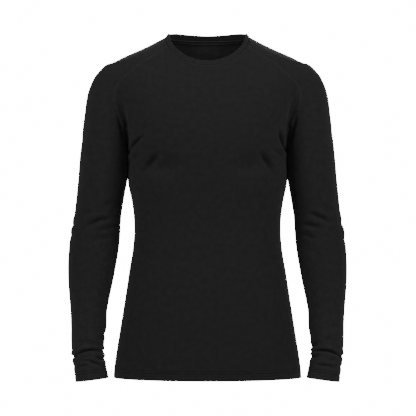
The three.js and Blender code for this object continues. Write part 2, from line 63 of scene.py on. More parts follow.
# One arm, as its centre, half its width from the front and half its depth from the side
armSections = {
    "z": (-60, -71, -88, -121, -171, -238, -271, -290, -304, -371, -404, -438, -471, -505, -538, -572, -605,
          -640, -672, -722),
    "centreX": (169, 177, 187, 197.5, 204, 211, 214.6, 217.6, 219.9, 229.2, 233.7, 236.9, 240.4, 243.4, 245.8, 247.5,
                247.4, 249.6, 247.4, 238.8),
    "halfWidth": (42.5, 46, 49.5, 52, 52.7, 53.3, 52.8, 51.2, 50.2, 48, 50.3, 51, 49.6, 46.4, 41.9, 37.2, 35.9, 33,
                  32.6, 34),
    "centreY": (6, 7, 8, 9, 9, 9, 9, 9, 9, 9, 7, 4, 0, -5, -9, -13, -16, -19, -21, -23),
    "halfDepth": (41, 49, 56, 61, 63, 62, 60, 59, 58, 52, 49, 47, 46, 43, 40, 37, 35, 33, 32, 32.5),
}

valley = {"top": 24.0, "bottom": 4.0, "from": -90.0, "to": -195.0}
neck = {"halfWidth": 86.5, "sideHeight": -3.0, "frontDrop": 62.0, "backDrop": 4.5, "axisY": -8.0}
arm = {"slant": 0.13, "lean": 0.09, "leanFrom": -350.0, "leanTo": -600.0}

# The sleeve seams: seen points by x and z, then points under the arm by y and z
frontSeamKnots = {
    "seenX": (104, 130, 149, 171, 189, 192.5, 187, 178, 170.3),
    "seenZ": (-41, -56, -69, -89, -110, -130, -154, -175, -192),
    "underY": (-31, -24, -12, 0), "underZ": (-204, -219, -232, -238), "neckZ": -23.0,
}
backSeamKnots = {
    "seenX": (88, 118, 147, 171, 184, 183, 175, 165.2),
    "seenZ": (-29, -51, -77, -104, -130, -154, -175, -192),
    "underY": (40, 33, 16, 0), "underZ": (-205, -219, -232, -238), "neckX": 57.0,
}
shoulderLine = {
    "x": (86.5, 132, 187, 213, 234, 249, 256, 260, 264),
    "z": (-3, -25, -50, -63, -86, -121, -160, -205, -248),
}


def smoothStep(start, stop, value):
    # 0 before start, 1 after stop, and 3t^2 - 2t^3 between
    t = np.clip((np.asarray(value, float) - start) / (stop - start), 0, 1)
    return t * t * (3 - 2 * t)


def mix(a, b, t):
    return a * (1 - t) + b * t


def unit(vectors):
    return vectors / np.maximum(np.linalg.norm(vectors, axis=-1, keepdims=True), 1e-9)


def hermite(knots, values, at):
    # A cubic between each pair of knots, with the slope at a knot taken from its two neighbours
    knots = np.asarray(knots, float)
    values = np.asarray(values, float)
    before = np.r_[0, np.arange(len(knots) - 1)]
    after = np.r_[np.arange(1, len(knots)), len(knots) - 1]
    slope = (values[after] - values[before]) / (knots[after] - knots[before])
    i = np.clip(np.searchsorted(knots, at, side="right") - 1, 0, len(knots) - 2)
    span = knots[i + 1] - knots[i]
    t = (np.clip(at, knots[0], knots[-1]) - knots[i]) / span
    rise = values[i] * (1 + 2 * t) * (1 - t) ** 2 + slope[i] * span * t * (1 - t) ** 2
    return rise + values[i + 1] * (3 - 2 * t) * t ** 2 + slope[i + 1] * span * (t - 1) * t ** 2


def column(table, name, z):
    # A column of a table at any height: its rows run downwards, so both are turned over
    return hermite(table["z"][::-1], table[name][::-1], z)


def sectionDistance(x, y, halfX, halfY, power):
    # Distance to a superellipse: (r - 1) over the slope of r, with r = (|x/a|^n + |y/b|^n)^(1/n)
    u = np.abs(x) / halfX
    v = np.abs(y) / halfY
    r = np.maximum((u ** power + v ** power) ** (1 / power), 1e-6)
    steep = np.hypot((u / r) ** (power - 1) / halfX, (v / r) ** (power - 1) / halfY)
    return (r - 1) / np.maximum(steep, 1e-9)


def bodyDistance(p):
    x, y, z = np.moveaxis(p, -1, 0)
    reach = np.where(y < 0, column(bodySections, "front", z), column(bodySections, "back", z))
    halfWidth = column(bodySections, "halfWidth", z)
    side = sectionDistance(x, y, halfWidth, reach, column(bodySections, "power", z))
    return np.maximum(side, z - bodySections["z"][0])


def armDistance(p):
    x, y, z = np.moveaxis(p, -1, 0)
    across = np.abs(x) - column(armSections, "centreX", z)
    deep = y - column(armSections, "centreY", z)
    halfWidth = column(armSections, "halfWidth", z)
    side = sectionDistance(across, deep, halfWidth, column(armSections, "halfDepth", z), 2)
    return np.maximum(side, z - armSections["z"][0])


def wornForm(p):
    # Body and arm joined by a smooth minimum, whose softness falls towards the armpit
    soft = mix(valley["top"], valley["bottom"], smoothStep(valley["from"], valley["to"], p[..., 2]))
    body = bodyDistance(p)
    sleeve = armDistance(p)
    near = np.maximum(soft - np.abs(body - sleeve), 0) / soft
    return np.minimum(body, sleeve) - near * near * soft / 4


def bodyForm(p):
    return mix(bodyDistance(p), wornForm(p), smoothStep(*cut["armpitBlend"], p[..., 2]))


def slopeOf(form, p):
    # Central differences half a millimetre to each side
    step = 0.5
    moves = np.eye(3) * step
    return np.stack([(form(p + m) - form(p - m)) / (2 * step) for m in moves], -1)


def outwardOf(form, p):
    return unit(slopeOf(form, p))


def layOn(form, p, rounds=6):
    # Newton steps down the slope until the distance is nought
    for _ in range(rounds):
        slope = slopeOf(form, p)
        size = np.maximum((slope ** 2).sum(-1), 0.05)
        p = p + slope * np.clip(-form(p) / size, -12, 12)[..., None]
    return p


def crossing(form, start, ray, reach=400.0, step=6.0, rounds=16):
    # Walks each ray in equal steps while it stays on its first side, then halves the last step
    inside = form(start) < 0
    near = np.zeros(start.shape[:-1])
    going = np.ones_like(inside)
    for _ in range(int(reach / step)):
        same = (form(start + ray * (near + step)[..., None]) < 0) == inside
        going &= same
        if not going.any():
            break
        near = np.where(going, near + step, near)
    far = near + step
    for _ in range(rounds):
        middle = (near + far) / 2
        same = (form(start + ray * middle[..., None]) < 0) == inside
        near = np.where(same, middle, near)
        far = np.where(same, far, middle)
    return start + ray * far[..., None]


def lengthAlong(line):
    # The way from the first point to each point of a line: the sum of its steps
    return np.r_[0, np.linalg.norm(np.diff(line, axis=0), axis=-1).cumsum()]


def sampled(values, reach, at):
    return np.stack([np.interp(at, reach, values[:, k]) for k in range(3)], -1)


def shareOut(points, shares):
    # Points at the given shares of a polyline's length
    reach = lengthAlong(points)
    return sampled(points, reach, reach[-1] * np.asarray(shares, float))


def evenly(parts):
    return np.linspace(0, 1, parts + 1)


def curveThrough(knots, parts=400):
    # A smooth curve through the knots, stepped by the square root of the distance between them
    knots = np.asarray(knots, float)
    steps = np.r_[0, (np.linalg.norm(np.diff(knots, axis=0), axis=1) ** 0.5).cumsum()]
    at = np.linspace(0, steps[-1], parts + 1)
    return np.stack([hermite(steps, knots[:, k], at) for k in range(3)], -1)


def mirrored(points):
    return points * np.array([-1.0, 1.0, 1.0])


# Seams as curves on the worn form, for the side where x is positive

def seenPoints(xs, zs, facing):
    start = np.stack([np.asarray(xs, float), np.full(len(xs), facing * 200.0), np.asarray(zs, float)], -1)
    return crossing(wornForm, start, np.tile([0.0, -facing, 0.0], (len(xs), 1)))


def sidePoints(ys, zs):
    # x on the body's side from the superellipse, at a given y and height
    y, z = np.asarray(ys, float), np.asarray(zs, float)
    reach = np.where(y < 0, column(bodySections, "front", z), column(bodySections, "back", z))
    power = column(bodySections, "power", z)
    x = column(bodySections, "halfWidth", z) * (1 - (np.abs(y) / reach) ** power) ** (1 / power)
    return np.stack([x, y, z], -1)


def neckLoop(turn):
    # The seam of the neckband: 0 is the centre front, a quarter turn the shoulder, half a turn the back
    facing = np.cos(turn)
    z = neck["sideHeight"] - np.where(facing > 0, neck["frontDrop"], neck["backDrop"]) * np.abs(facing)
    x = neck["halfWidth"] * np.sin(turn)
    reach = np.where(facing > 0, -column(bodySections, "front", z), column(bodySections, "back", z))
    power = column(bodySections, "power", z)
    y = reach * np.maximum(1 - np.abs(x / column(bodySections, "halfWidth", z)) ** power, 0) ** (1 / power)
    return np.stack([x, y, z], -1)


def neckArc(start, stop, shares):
    return layOn(wornForm, shareOut(neckLoop(np.linspace(start, stop, 600)), shares))


# The turns where the sleeve seams meet the neck
frontTurn = math.acos((neck["sideHeight"] - frontSeamKnots["neckZ"]) / neck["frontDrop"])
backTurn = math.pi - math.asin(backSeamKnots["neckX"] / neck["halfWidth"])


def sleeveSeam(knots, turn, facing, shares):
    seen = seenPoints(knots["seenX"], knots["seenZ"], facing)
    under = sidePoints(knots["underY"], knots["underZ"])
    curve = curveThrough(np.concatenate([neckLoop(np.array([turn])), seen, under]))
    return layOn(bodyForm, shareOut(curve, shares))


fine = {
    "panelColumns": 144, "sleeveColumns": 124, "capRows": 96, "bodyRows": 122, "armRows": 168,
    "dense": 260, "edgeRows": 42, "turnSteps": 8, "turnRows": 9, "coarseRows": 16, "coarseColumns": 24,
    "relaxRounds": 120,
}


def spaced(marks, gaps, parts):
    # Places from the first mark to the last, with steps in proportion to the given gaps
    place = np.linspace(marks[0], marks[-1], 2001)
    way = np.sign(marks[-1] - marks[0])
    density = 1 / np.interp(way * place, way * np.asarray(marks, float), gaps)
    total = np.r_[0, ((density[1:] + density[:-1]) / 2).cumsum()]
    return np.interp(np.linspace(0, total[-1], parts + 1), total, place)


# Finer steps where the cloth creases: towards the armpits and the sides, at the elbows and wrists
capShares = spaced((0, 0.45, 0.65, 1), (3.8, 3.6, 2.2, 2.2), fine["capRows"])
panelShares = spaced((0, 0.2, 0.32, 0.68, 0.8, 1), (2.2, 2.2, 4.6, 4.6, 2.2, 2.2), fine["panelColumns"])
frontSeam = sleeveSeam(frontSeamKnots, frontTurn, -1, capShares)
backSeam = sleeveSeam(backSeamKnots, backTurn, 1, capShares)
frontSeam[0] = neckArc(0, frontTurn, [0, 1])[-1]
backSeam[0] = neckArc(backTurn, math.pi, [0, 1])[0]
backSeam[-1] = frontSeam[-1]
seamMarks = np.concatenate([frontSeam[::4], backSeam[::4]])


def nearestMark(p, marks):
    # Distance to the nearest of the marks, each point being taken to the side where x is positive
    near = p * np.where(p[..., :1] < 0, mirrored(np.ones(3)), np.ones(3))
    nearest = np.full(p.shape[:-1], np.inf)
    for mark in marks:
        nearest = np.minimum(nearest, np.linalg.norm(near - mark, axis=-1))
    return nearest


def clearance(p):
    # The gap between sleeve and body: the seam's own at the seam, wider a little way off it
    away = smoothStep(0, cut["clearanceRun"], nearestMark(p, seamMarks))
    return mix(cut["seamGap"], cut["sleeveClearance"], away)


def sleeveForm(p):
    # The arm, cut back to stay clear of the body below the armpit, and the worn form above it
    above = smoothStep(*cut["armpitBlend"], p[..., 2])
    under = np.maximum(armDistance(p), clearance(p) - bodyDistance(p))
    return mix(under, wornForm(p), above)


underMarks = np.concatenate([seam[seam[:, 2] < cut["underArmFrom"]] for seam in (frontSeam, backSeam)])


def calmAt(p):
    # Nothing moves at the seam under the arm, where body and sleeve look in opposite ways
    calm = np.ones(p.shape[:-1])
    close = (p[..., 2] < cut["calmBelow"]) & (p[..., 2] > cut["armpitHeight"] - cut["calmRun"])
    calm[close] = smoothStep(0, cut["calmRun"], nearestMark(p[close], underMarks))
    return calm


print("seams laid on the form")

# Folds: a trough where depth is positive, a ridge where it is negative. Front and back folds run from
# (a1, b1) to (a2, b2) in x and z, those of the left and right sides in y and z. The bow is how far the
# middle stands off the straight line, and the lip is a ridge beside the trough, on the bow's side where it
# is positive. "body" and "arm" folds fade out on the other one, "both" folds run over the seam.
foldTable = (
    # face, owner, a1, b1, a2, b2, bow, width, depth, lip
    # front: the two creases that run down into each armpit
    ("front", "both", -173, -150, -164, -243, 1, 3.6, 5.2, 1.0),
    ("front", "arm", -185, -170, -171, -240, 2, 3.4, 4.0, 1.0),
    ("front", "both", 172, -146, 164, -240, -1, 3.6, 5.2, 1.0),
    ("front", "arm", 184, -172, 170, -238, -2, 3.4, 4.0, 1.0),
    # front: the pulls from the armpits
    ("front", "body", -166, -248, -131, -210, 4, 3.4, 7.6, 0.5),
    ("front", "body", -163, -264, -138, -248, 2, 5, 3.4, 1.2),
    ("front", "body", -99, -250, -139, -290, -3, 5.8, 6.0, 2.5),
    ("front", "body", -66, -266, -96, -304, -3, 11, 1.9, 0.7),
    ("front", "body", 167, -243, 148, -201, 2, 3.6, 10, 1.2),
    ("front", "body", 160, -256, 134, -238, -2, 4.4, 4.6, 1.6),
    ("front", "body", 110, -248, 138, -290, 3, 5.8, 6.2, 2.8),
    ("front", "body", 72, -262, 98, -306, 3, 11, 1.8, 0.7),
    # front: the hollow under the chest, soft and wide
    ("front", "body", -165, -268, -60, -276, 3, 21, 10, 0),
    ("front", "body", 163, -262, 62, -276, -3, 21, 9, 0),
    # front: the waist
    ("front", "body", 102, -350, 137, -441, -6, 7, -2.7, 0),
    ("front", "body", -106, -356, -140, -432, 5, 8, -1.6, 0),
    ("front", "body", -148, -332, -114, -352, 3, 6, 0.9, 0.4),
    ("front", "body", 150, -338, 120, -357, -3, 6, 1.0, 0.4),
    ("front", "body", -150, -408, -98, -402, 3, 8, 0.8, 0.3),
    ("front", "body", 150, -418, 104, -410, 3, 8, 0.8, 0.3),
    ("front", "body", -152, -458, -70, -472, 4, 11, 0.7, 0.3),
    ("front", "body", 160, -474, 84, -486, -4, 11, 0.7, 0.3),
    # front: dents above the hem
    ("front", "body", -88, -684, -58, -681, 1, 4, 1.3, 0.5),
    ("front", "body", 40, -688, 72, -690, -1, 4, 0.9, 0.4),
    ("front", "body", 134, -684, 160, -680, 1, 4, 1.0, 0.4),
    ("front", "body", -162, -690, -138, -686, 1, 4, 0.9, 0.4),
    # front of the shoulders
    ("front", "both", -208, -120, -196, -200, 4, 13, 3.0, 0.3),
    ("front", "both", 210, -118, 198, -196, 4, 13, 2.8, 0.3),
    # front of the elbows
    ("front", "arm", -252, -401, -206, -382, 5, 4.8, 5.6, 2.2),
    ("front", "arm", -222, -407, -184, -395, 3, 4.3, 4.4, 1.8),
    ("front", "arm", -240, -428, -204, -420, 2, 6, 1.9, 0.9),
    ("front", "arm", -266, -374, -236, -364, -2, 6, 1.7, 0.7),
    ("front", "arm", -218, -358, -190, -346, 2, 6, 1.9, 0.8),
    ("front", "arm", 213, -371, 249, -389, 3, 4.8, 5.6, 2.2),
    ("front", "arm", 200, -393, 232, -401, 2, 4.3, 4.9, 1.9),
    ("front", "arm", 194, -411, 222, -423, 2, 4.3, 4.0, 1.5),
    ("front", "arm", 232, -358, 258, -368, 2, 6, 2.0, 0.8),
    ("front", "arm", 206, -442, 240, -453, -2, 8, 1.0, 0.4),
    # front of the wrists: the sleeve rolls over the cuff, and the cuff is gathered below
    ("front", "arm", -282, -672, -211, -659, 12, 3.0, 5.8, 2.8),
    ("front", "arm", -231, -670, -209, -672, -1, 3.0, 4.6, 1.6),
    ("front", "arm", -250, -675, -215, -688, 1, 3.0, 4.2, 1.9),
    ("front", "arm", -275, -690, -245, -684, 1, 3.0, 3.0, 1.4),
    ("front", "arm", -266, -679, -250, -675, 1, 3.6, 1.3, 0.6),
    ("front", "arm", -229, -631, -212, -618, -1, 3.2, 4.8, 1.8),
    ("front", "arm", -264, -637, -228, -645, 2, 6, 1.5, 0.8),
    ("front", "arm", -278, -610, -242, -618, 2, 7, 1.3, 0.6),
    ("front", "arm", 212, -660, 277, -670, 11, 3.0, 5.8, 2.8),
    ("front", "arm", 208, -672, 233, -664, 1, 3.4, 6.2, 1.8),
    ("front", "arm", 226, -684, 258, -687, 1, 3.0, 3.7, 1.7),
    ("front", "arm", 214, -649, 229, -636, -1, 3.2, 4.8, 1.8),
    ("front", "arm", 252, -690, 274, -688, 1, 3.2, 2.4, 1.0),
    ("front", "arm", 232, -637, 264, -631, 2, 6, 1.4, 0.7),
    ("front", "arm", 246, -612, 280, -602, 2, 7, 1.2, 0.6),
    # back: the armpits, the shoulder blades and the hollow above the seat
    ("back", "both", -168, -156, -163, -240, 1, 3.6, 3.4, 0.9),
    ("back", "both", 169, -152, 163, -242, -1, 3.6, 3.4, 0.9),
    ("back", "body", -162, -243, -122, -202, 3, 4.0, 3.2, 1.2),
    ("back", "body", -156, -268, -110, -234, 2, 7, 1.6, 0.6),
    ("back", "body", 162, -238, 126, -194, -3, 4.0, 3.2, 1.2),
    ("back", "body", 154, -264, 114, -228, -2, 7, 1.5, 0.6),
    ("back", "body", -130, -393, -28, -377, 7, 7, 2.6, 1.1),
    ("back", "body", 120, -404, 20, -388, -7, 7, 2.4, 1.0),
    ("back", "body", -104, -433, -12, -420, 5, 8, 2.1, 0.9),
    ("back", "body", 124, -443, 44, -424, 4, 7, 2.0, 0.9),
    ("back", "body", -66, -458, 24, -453, 4, 9, 1.4, 0.6),
    ("back", "body", -136, -352, -72, -342, 3, 9, 1.2, 0.5),
    ("back", "body", 132, -360, 74, -350, 3, 9, 1.1, 0.5),
    ("back", "body", -94, -118, -128, -190, -7, 14, 1.2, 0.4),
    ("back", "body", 96, -116, 127, -186, 7, 14, 1.1, 0.4),
    ("back", "body", -42, -160, -54, -250, 5, 16, 0.8, 0.3),
    ("back", "body", 50, -170, 60, -246, -5, 16, 0.7, 0.3),
    ("back", "arm", -270, -400, -222, -387, 3, 5.5, 2.8, 1.2),
    ("back", "arm", -262, -426, -222, -418, 3, 6, 1.7, 0.7),
    ("back", "arm", 269, -386, 221, -399, -3, 5.5, 2.9, 1.2),
    ("back", "arm", 264, -414, 226, -425, -3, 6, 1.6, 0.7),
    ("back", "arm", -280, -664, -216, -655, 7, 2.8, 3.4, 1.6),
    ("back", "arm", -272, -686, -230, -691, 2, 3.6, 1.5, 0.7),
    ("back", "arm", 279, -656, 218, -667, -7, 2.8, 3.3, 1.6),
    ("back", "arm", 270, -690, 232, -684, 2, 3.6, 1.4, 0.7),
    # outer sides of the sleeves
    ("right", "arm", -32, -390, 28, -405, 4, 6, 2.2, 0.9),
    ("right", "arm", -26, -424, 26, -415, 3, 7, 1.5, 0.6),
    ("right", "arm", -50, -667, 8, -674, 3, 2.8, 3.2, 1.5),
    ("right", "arm", -46, -692, -4, -686, 2, 3.6, 1.3, 0.6),
    ("right", "arm", -30, -200, 20, -238, 5, 12, 0.9, 0.3),
    ("left", "arm", -30, -404, 30, -388, 4, 6, 2.3, 0.9),
    ("left", "arm", -26, -432, 22, -424, 3, 7, 1.4, 0.6),
    ("left", "arm", -52, -674, 6, -664, 3, 2.8, 3.2, 1.5),
    ("left", "arm", -46, -688, -6, -693, 2, 3.6, 1.3, 0.6),
    ("left", "arm", -32, -230, 18, -198, 5, 12, 0.9, 0.3),
)
# For each face: its two axes and the way it looks
faceWays = {"front": ((0, 2), (0, -1, 0)), "back": ((0, 2), (0, 1, 0)),
            "left": ((1, 2), (1, 0, 0)), "right": ((1, 2), (-1, 0, 0))}


def foldDepth(p, outward):
    # Sum over the folds: a Gaussian across the bowed line, less a lip beside it, faded at both ends
    total = np.zeros(p.shape[:-1])
    nearer = armDistance(p) - bodyDistance(p)
    owned = {"both": 1.0, "body": smoothStep(-5, 5, nearer), "arm": smoothStep(5, -5, nearer)}
    for face, owner, a1, b1, a2, b2, bow, width, depth, lip in foldTable:
        axes, way = faceWays[face]
        facing = outward @ np.array(way, float)
        run = np.array([a2 - a1, b2 - b1], float)
        length = np.hypot(*run)
        to = p[..., list(axes)] - np.array([a1, b1], float)
        share = to @ run / length ** 2
        along = np.clip(share, 0, 1)
        over = np.abs(share - along) * length
        across = (to[..., 1] * run[0] - to[..., 0] * run[1]) / length - bow * 4 * along * (1 - along)
        off = np.hypot(across, over) / width
        fade = np.sin(np.pi * mix(0.05, 0.95, along)) ** 0.7
        beside = np.hypot(across - 1.9 * width, over) / (1.3 * width)
        below = np.hypot(across + 1.9 * width, over) / (1.3 * width)
        lips = lip * (np.exp(-beside * beside) + 0.4 * np.exp(-below * below))
        sameSide = (p[..., 0] * way[0] >= 0) if way[0] else True
        shape = (depth * np.exp(-off * off) - lips) * fade * smoothStep(-0.35, 0.15, facing)
        total += np.where(sameSide, shape, 0) * owned[owner]
    return total


drapes = {"size": 0.55, "waves": ((0.021, 0.034, 0.017, 0.4), (-0.033, 0.019, 0.026, 1.9),
                                  (0.012, -0.041, 0.022, 3.1), (0.047, 0.009, -0.031, 5.0))}


def drapeDepth(p):
    # The slow unevenness of soft jersey: a few long waves across each other
    total = np.zeros(p.shape[:-1])
    for kx, ky, kz, start in drapes["waves"]:
        total += np.sin(p[..., 0] * kx + p[..., 1] * ky + p[..., 2] * kz + start)
    calm = smoothStep(-20, -70, p[..., 2])
    return drapes["size"] * total / len(drapes["waves"]) * calm


def dressed(form, p):
    # Points moved out or in along the form's outward direction by all the folds
    outward = outwardOf(form, p)
    depth = (foldDepth(p, outward) + drapeDepth(p) - cut["ease"]) * calmAt(p)
    return p - outward * depth[..., None], outward


# Grids of points, as rows from the top of a piece down

def patchBetween(top, bottom, left, right, u, v):
    # Coons patch: the mix of the sides, plus the mix of top and bottom, less the mix of the corners
    v, u = v[:, None, None], u[None, :, None]
    sides = left[:, None] * (1 - u) + right[:, None] * u
    ends = top[None] * (1 - v) + bottom[None] * v
    corners = (top[0] * (1 - u) + top[-1] * u) * (1 - v) + (bottom[0] * (1 - u) + bottom[-1] * u) * v
    return sides + ends - corners


def hermiteGrid(grid, u, v):
    # A coarse grid read at finer shares, first down its columns and then along its rows
    rows, across, _ = grid.shape
    down = [hermite(evenly(rows - 1), grid[:, j, k], v) for j in range(across) for k in range(3)]
    down = np.stack(down, -1).reshape(len(v), across, 3)
    along = [hermite(evenly(across - 1), down[i, :, k], u) for i in range(len(v)) for k in range(3)]
    return np.stack(along, 0).reshape(len(v), 3, len(u)).transpose(0, 2, 1)


def relaxedPatch(form, edgesAt, u, v):
    # A coarse patch is evened out on the form, each point to the mean of its four neighbours. It is read
    # at the fine shares, and what its edges then miss is spread over it as a second patch.
    coarseU, coarseV = evenly(fine["coarseColumns"]), evenly(fine["coarseRows"])
    coarse = patchBetween(*edgesAt(coarseU, coarseV), coarseU, coarseV)
    for _ in range(fine["relaxRounds"]):
        middle = (coarse[:-2, 1:-1] + coarse[2:, 1:-1] + coarse[1:-1, :-2] + coarse[1:-1, 2:]) / 4
        coarse[1:-1, 1:-1] = layOn(form, middle, 2)
    whole = hermiteGrid(coarse, u, v)
    top, bottom, left, right = edgesAt(u, v)
    missed = patchBetween(top - whole[0], bottom - whole[-1], left - whole[:, 0], right - whole[:, -1], u, v)
    patch = layOn(form, whole + missed, 6)
    patch[0], patch[-1], patch[:, 0], patch[:, -1] = top, bottom, left, right
    return patch


def halfSections(levels, facing, shares):
    # Half of a superellipse at each level, from one side of the body to the other, in even steps
    turn = np.linspace(0, math.pi, fine["dense"] + 1)
    z = np.asarray(levels, float)[:, None]
    power = column(bodySections, "power", z)
    reach = column(bodySections, "front" if facing < 0 else "back", z)
    x = -np.sign(np.cos(turn)) * np.abs(np.cos(turn)) ** (2 / power) * column(bodySections, "halfWidth", z)
    y = facing * reach * np.sin(turn) ** (2 / power)
    return np.stack([shareOut(row, shares) for row in np.stack([x, y, z + 0 * turn], -1)])


def edgeLevels(upper, edge):
    # Heights from the top down: the given rows first, then close ones over the turned edge
    return np.r_[upper[1:], np.linspace(upper[-1], edge, fine["edgeRows"] + 1)[1:]]


def needleDents(height, edge, turned):
    # Two shallow dents where the needle lines hold the turned edge, and the slight step above them
    dents = 0
    for line in (turned - 1, turned - 1 - cut["needleGap"]):
        dents = dents + 1.25 * np.exp(-((height - edge - line) / 1.0) ** 2)
    return dents - 0.5 * smoothStep(turned + 2.5, turned, height - edge)


def bodyPanel(facing, knots, seamTurn, neckTurns):
    def edgesAt(u, v):
        seam = sleeveSeam(knots, seamTurn, facing, v)
        seam[0] = neckArc(*neckTurns, [0, 1])[-1]
        underarm = halfSections([cut["armpitHeight"]], facing, u)[0]
        underarm[0], underarm[-1] = mirrored(seam[-1]), seam[-1]
        neckLine = neckArc(-neckTurns[1], neckTurns[1], u) if facing < 0 else neckArc(
            2 * math.pi - neckTurns[1], neckTurns[1], u)
        neckLine[0], neckLine[-1] = mirrored(seam[0]), seam[0]
        return neckLine, underarm, mirrored(seam), seam

    upper = relaxedPatch(bodyForm, edgesAt, panelShares, capShares)
    levels = edgeLevels(spaced((cut["armpitHeight"], -320, -360, cut["hemHeight"] + cut["hemTurn"] + 4),
                               (2.2, 2.4, 4.4, 4.4), fine["bodyRows"]), cut["hemHeight"])
    lower = halfSections(levels, facing, panelShares)
    lifted = smoothStep(-620, cut["hemHeight"], lower[..., 2])
    halfWidth = column(bodySections, "halfWidth", lower[..., 2])
    dents = needleDents(lower[..., 2], cut["hemHeight"], cut["hemTurn"])
    lower[..., 2] += cut["hemSideLift"] * (lower[..., 0] / halfWidth) ** 2 * lifted
    return np.concatenate([upper, lower]), np.concatenate([np.zeros(upper.shape[:2]), dents])


def sleeveCap(front, outside, back, shares):
    # Rows round the shoulder: rays fan out from a middle point, from the front seam to the back one
    centre = mix((front + back) / 2, outside, 0.45)
    out = outside - (front + back) / 2
    out[:, 1] = 0
    out = unit(out)
    normal = np.cross(np.array([0.0, 1.0, 0.0]), out)
    turns, shifts = [], []
    for edge, closedTurn in ((front, -math.pi), (back, math.pi)):
        reach = edge - centre
        turn = np.arctan2(reach[:, 1], (reach * out).sum(-1))
        turn += 2 * math.pi * ((closedTurn > 0) & (turn < 0)) - 2 * math.pi * ((closedTurn < 0) & (turn > 0))
        turn[-1] = closedTurn
        shift = (reach * normal).sum(-1)
        shift[-1] = 0
        turns.append(turn)
        shifts.append(shift)
    t = evenly(fine["dense"])
    turn = mix(turns[0][:, None], turns[1][:, None], t)
    shift = mix(shifts[0][:, None], shifts[1][:, None], t) * (1 - np.sin(math.pi * t))
    start = centre[:, None] + normal[:, None] * shift[..., None]
    ray = out[:, None] * np.cos(turn)[..., None] + np.array([0.0, 1.0, 0.0]) * np.sin(turn)[..., None]
    rows = crossing(sleeveForm, start, ray)
    for column_, edge in ((0, front), (-1, back)):
        under = edge[:, 2] <= cut["armpitBlend"][0]
        rows[:, column_] = np.where(under[:, None], layOn(sleeveForm, edge), edge)
    rows[-1, -1] = rows[-1, 0]
    return np.stack([shareOut(row, shares) for row in rows])


def armRings(levels, shares):
    # Closed rows round the arm, slanting down to the outside and, below the elbow, to the back
    z = np.asarray(levels, float)
    centre = np.stack([column(armSections, "centreX", z), column(armSections, "centreY", z), z], -1)
    lean = arm["lean"] * smoothStep(arm["leanFrom"], arm["leanTo"], z)
    out = unit(np.array([1.0, 0.0, -arm["slant"]]))
    back = unit(np.stack([0 * z, 1 + 0 * z, -lean], -1))
    turn = np.linspace(-math.pi, math.pi, fine["dense"] + 1)[None, :, None]
    ray = out * np.cos(turn) + back[:, None] * np.sin(turn)
    rows = crossing(sleeveForm, np.broadcast_to(centre[:, None], ray.shape), ray)
    return np.stack([shareOut(row, shares) for row in rows])


def sleeveGrid():
    shares = evenly(fine["sleeveColumns"])
    x, z = np.array(shoulderLine["x"], float), np.array(shoulderLine["z"], float)
    knots = np.stack([x, column(armSections, "centreY", z) * smoothStep(0, -90, z), z], -1)
    outside = shareOut(curveThrough(knots), capShares)
    cap = sleeveCap(frontSeam, outside, backSeam, shares)
    cap[0] = neckArc(frontTurn, backTurn, shares)
    top = (frontSeam[-1, 2] + outside[-1, 2]) / 2
    levels = edgeLevels(spaced((top, -320, -335, -450, -470, -590, -610, cut["cuffHeight"] + cut["cuffTurn"] + 4),
                               (3.2, 3.2, 2.2, 2.2, 4.6, 4.6, 1.9, 1.9), fine["armRows"]), cut["cuffHeight"])
    dents = needleDents(levels, cut["cuffHeight"], cut["cuffTurn"])[:, None] * np.ones(len(shares))
    return np.concatenate([cap, armRings(levels, shares)]), np.concatenate([np.zeros(cap.shape[:2]), dents])


def turnedUnder(points, outward, turned):
    # The edge rolls under in a half circle and runs back up the inside, below the needle lines.
    # Also gives the way that the cloth's face looks at each point.
    down = unit(points[-1] - points[-4])
    angle = (np.pi * np.arange(1, fine["turnSteps"] + 1) / fine["turnSteps"])[:, None, None]
    radius = cut["foldRadius"]
    rollOut = outward[-1] * np.cos(angle) + down * np.sin(angle)
    roll = points[-1] + radius * (rollOut - outward[-1])
    reach = np.linalg.norm(points[:, 0] - points[-1, 0], axis=-1)
    first = np.argmin(np.abs(reach - turned + 1))
    picks = np.linspace(len(points) - 2, first, fine["turnRows"]).round().astype(int)
    inside = points[picks] - outward[picks] * 2 * radius
    return np.concatenate([points, roll, inside]), np.concatenate([outward, rollOut, -outward[picks]])


def drawnBack(grid, sideRows, top=True):
    # Edge points step back from the seam by half the gap, square to the seam and along the cloth
    grid = grid.copy()

    def stepBack(edge, inner):
        seam = unit(np.gradient(edge, axis=0))
        inward = inner - edge
        inward -= seam * (inward * seam).sum(-1, keepdims=True)
        return edge + unit(inward) * cut["seamGap"] / 2

    left = stepBack(grid[:sideRows, 0], grid[:sideRows, 1])
    right = stepBack(grid[:sideRows, -1], grid[:sideRows, -2])
    upper = stepBack(grid[0], grid[1])
    grid[:sideRows, 0], grid[:sideRows, -1] = left, right
    if top:
        grid[0, 1:-1] = upper[1:-1]
    return grid


# Meshes

def measuredUv(points):
    # u runs along each row from its middle and v along each column from the bottom, both in metres
    acrossSteps = np.linalg.norm(np.diff(points, axis=1), axis=-1)
    u = np.concatenate([np.zeros((len(points), 1)), acrossSteps.cumsum(1)], 1)
    u -= u[:, u.shape[1] // 2][:, None]
    downSteps = np.linalg.norm(np.diff(points, axis=0), axis=-1).mean(1)
    v = np.r_[0, downSteps.cumsum()]
    return np.stack([u, (v[-1] - v)[:, None] + 0 * u], -1) * millimetre


def gridFaces(rows, columns, wrap=False):
    i, j = np.meshgrid(np.arange(rows - 1), np.arange(columns if wrap else columns - 1), indexing="ij")
    k = (j + 1) % columns
    corners = [i * columns + j, (i + 1) * columns + j, (i + 1) * columns + k, i * columns + k]
    return np.stack(corners, -1).reshape(-1, 4)


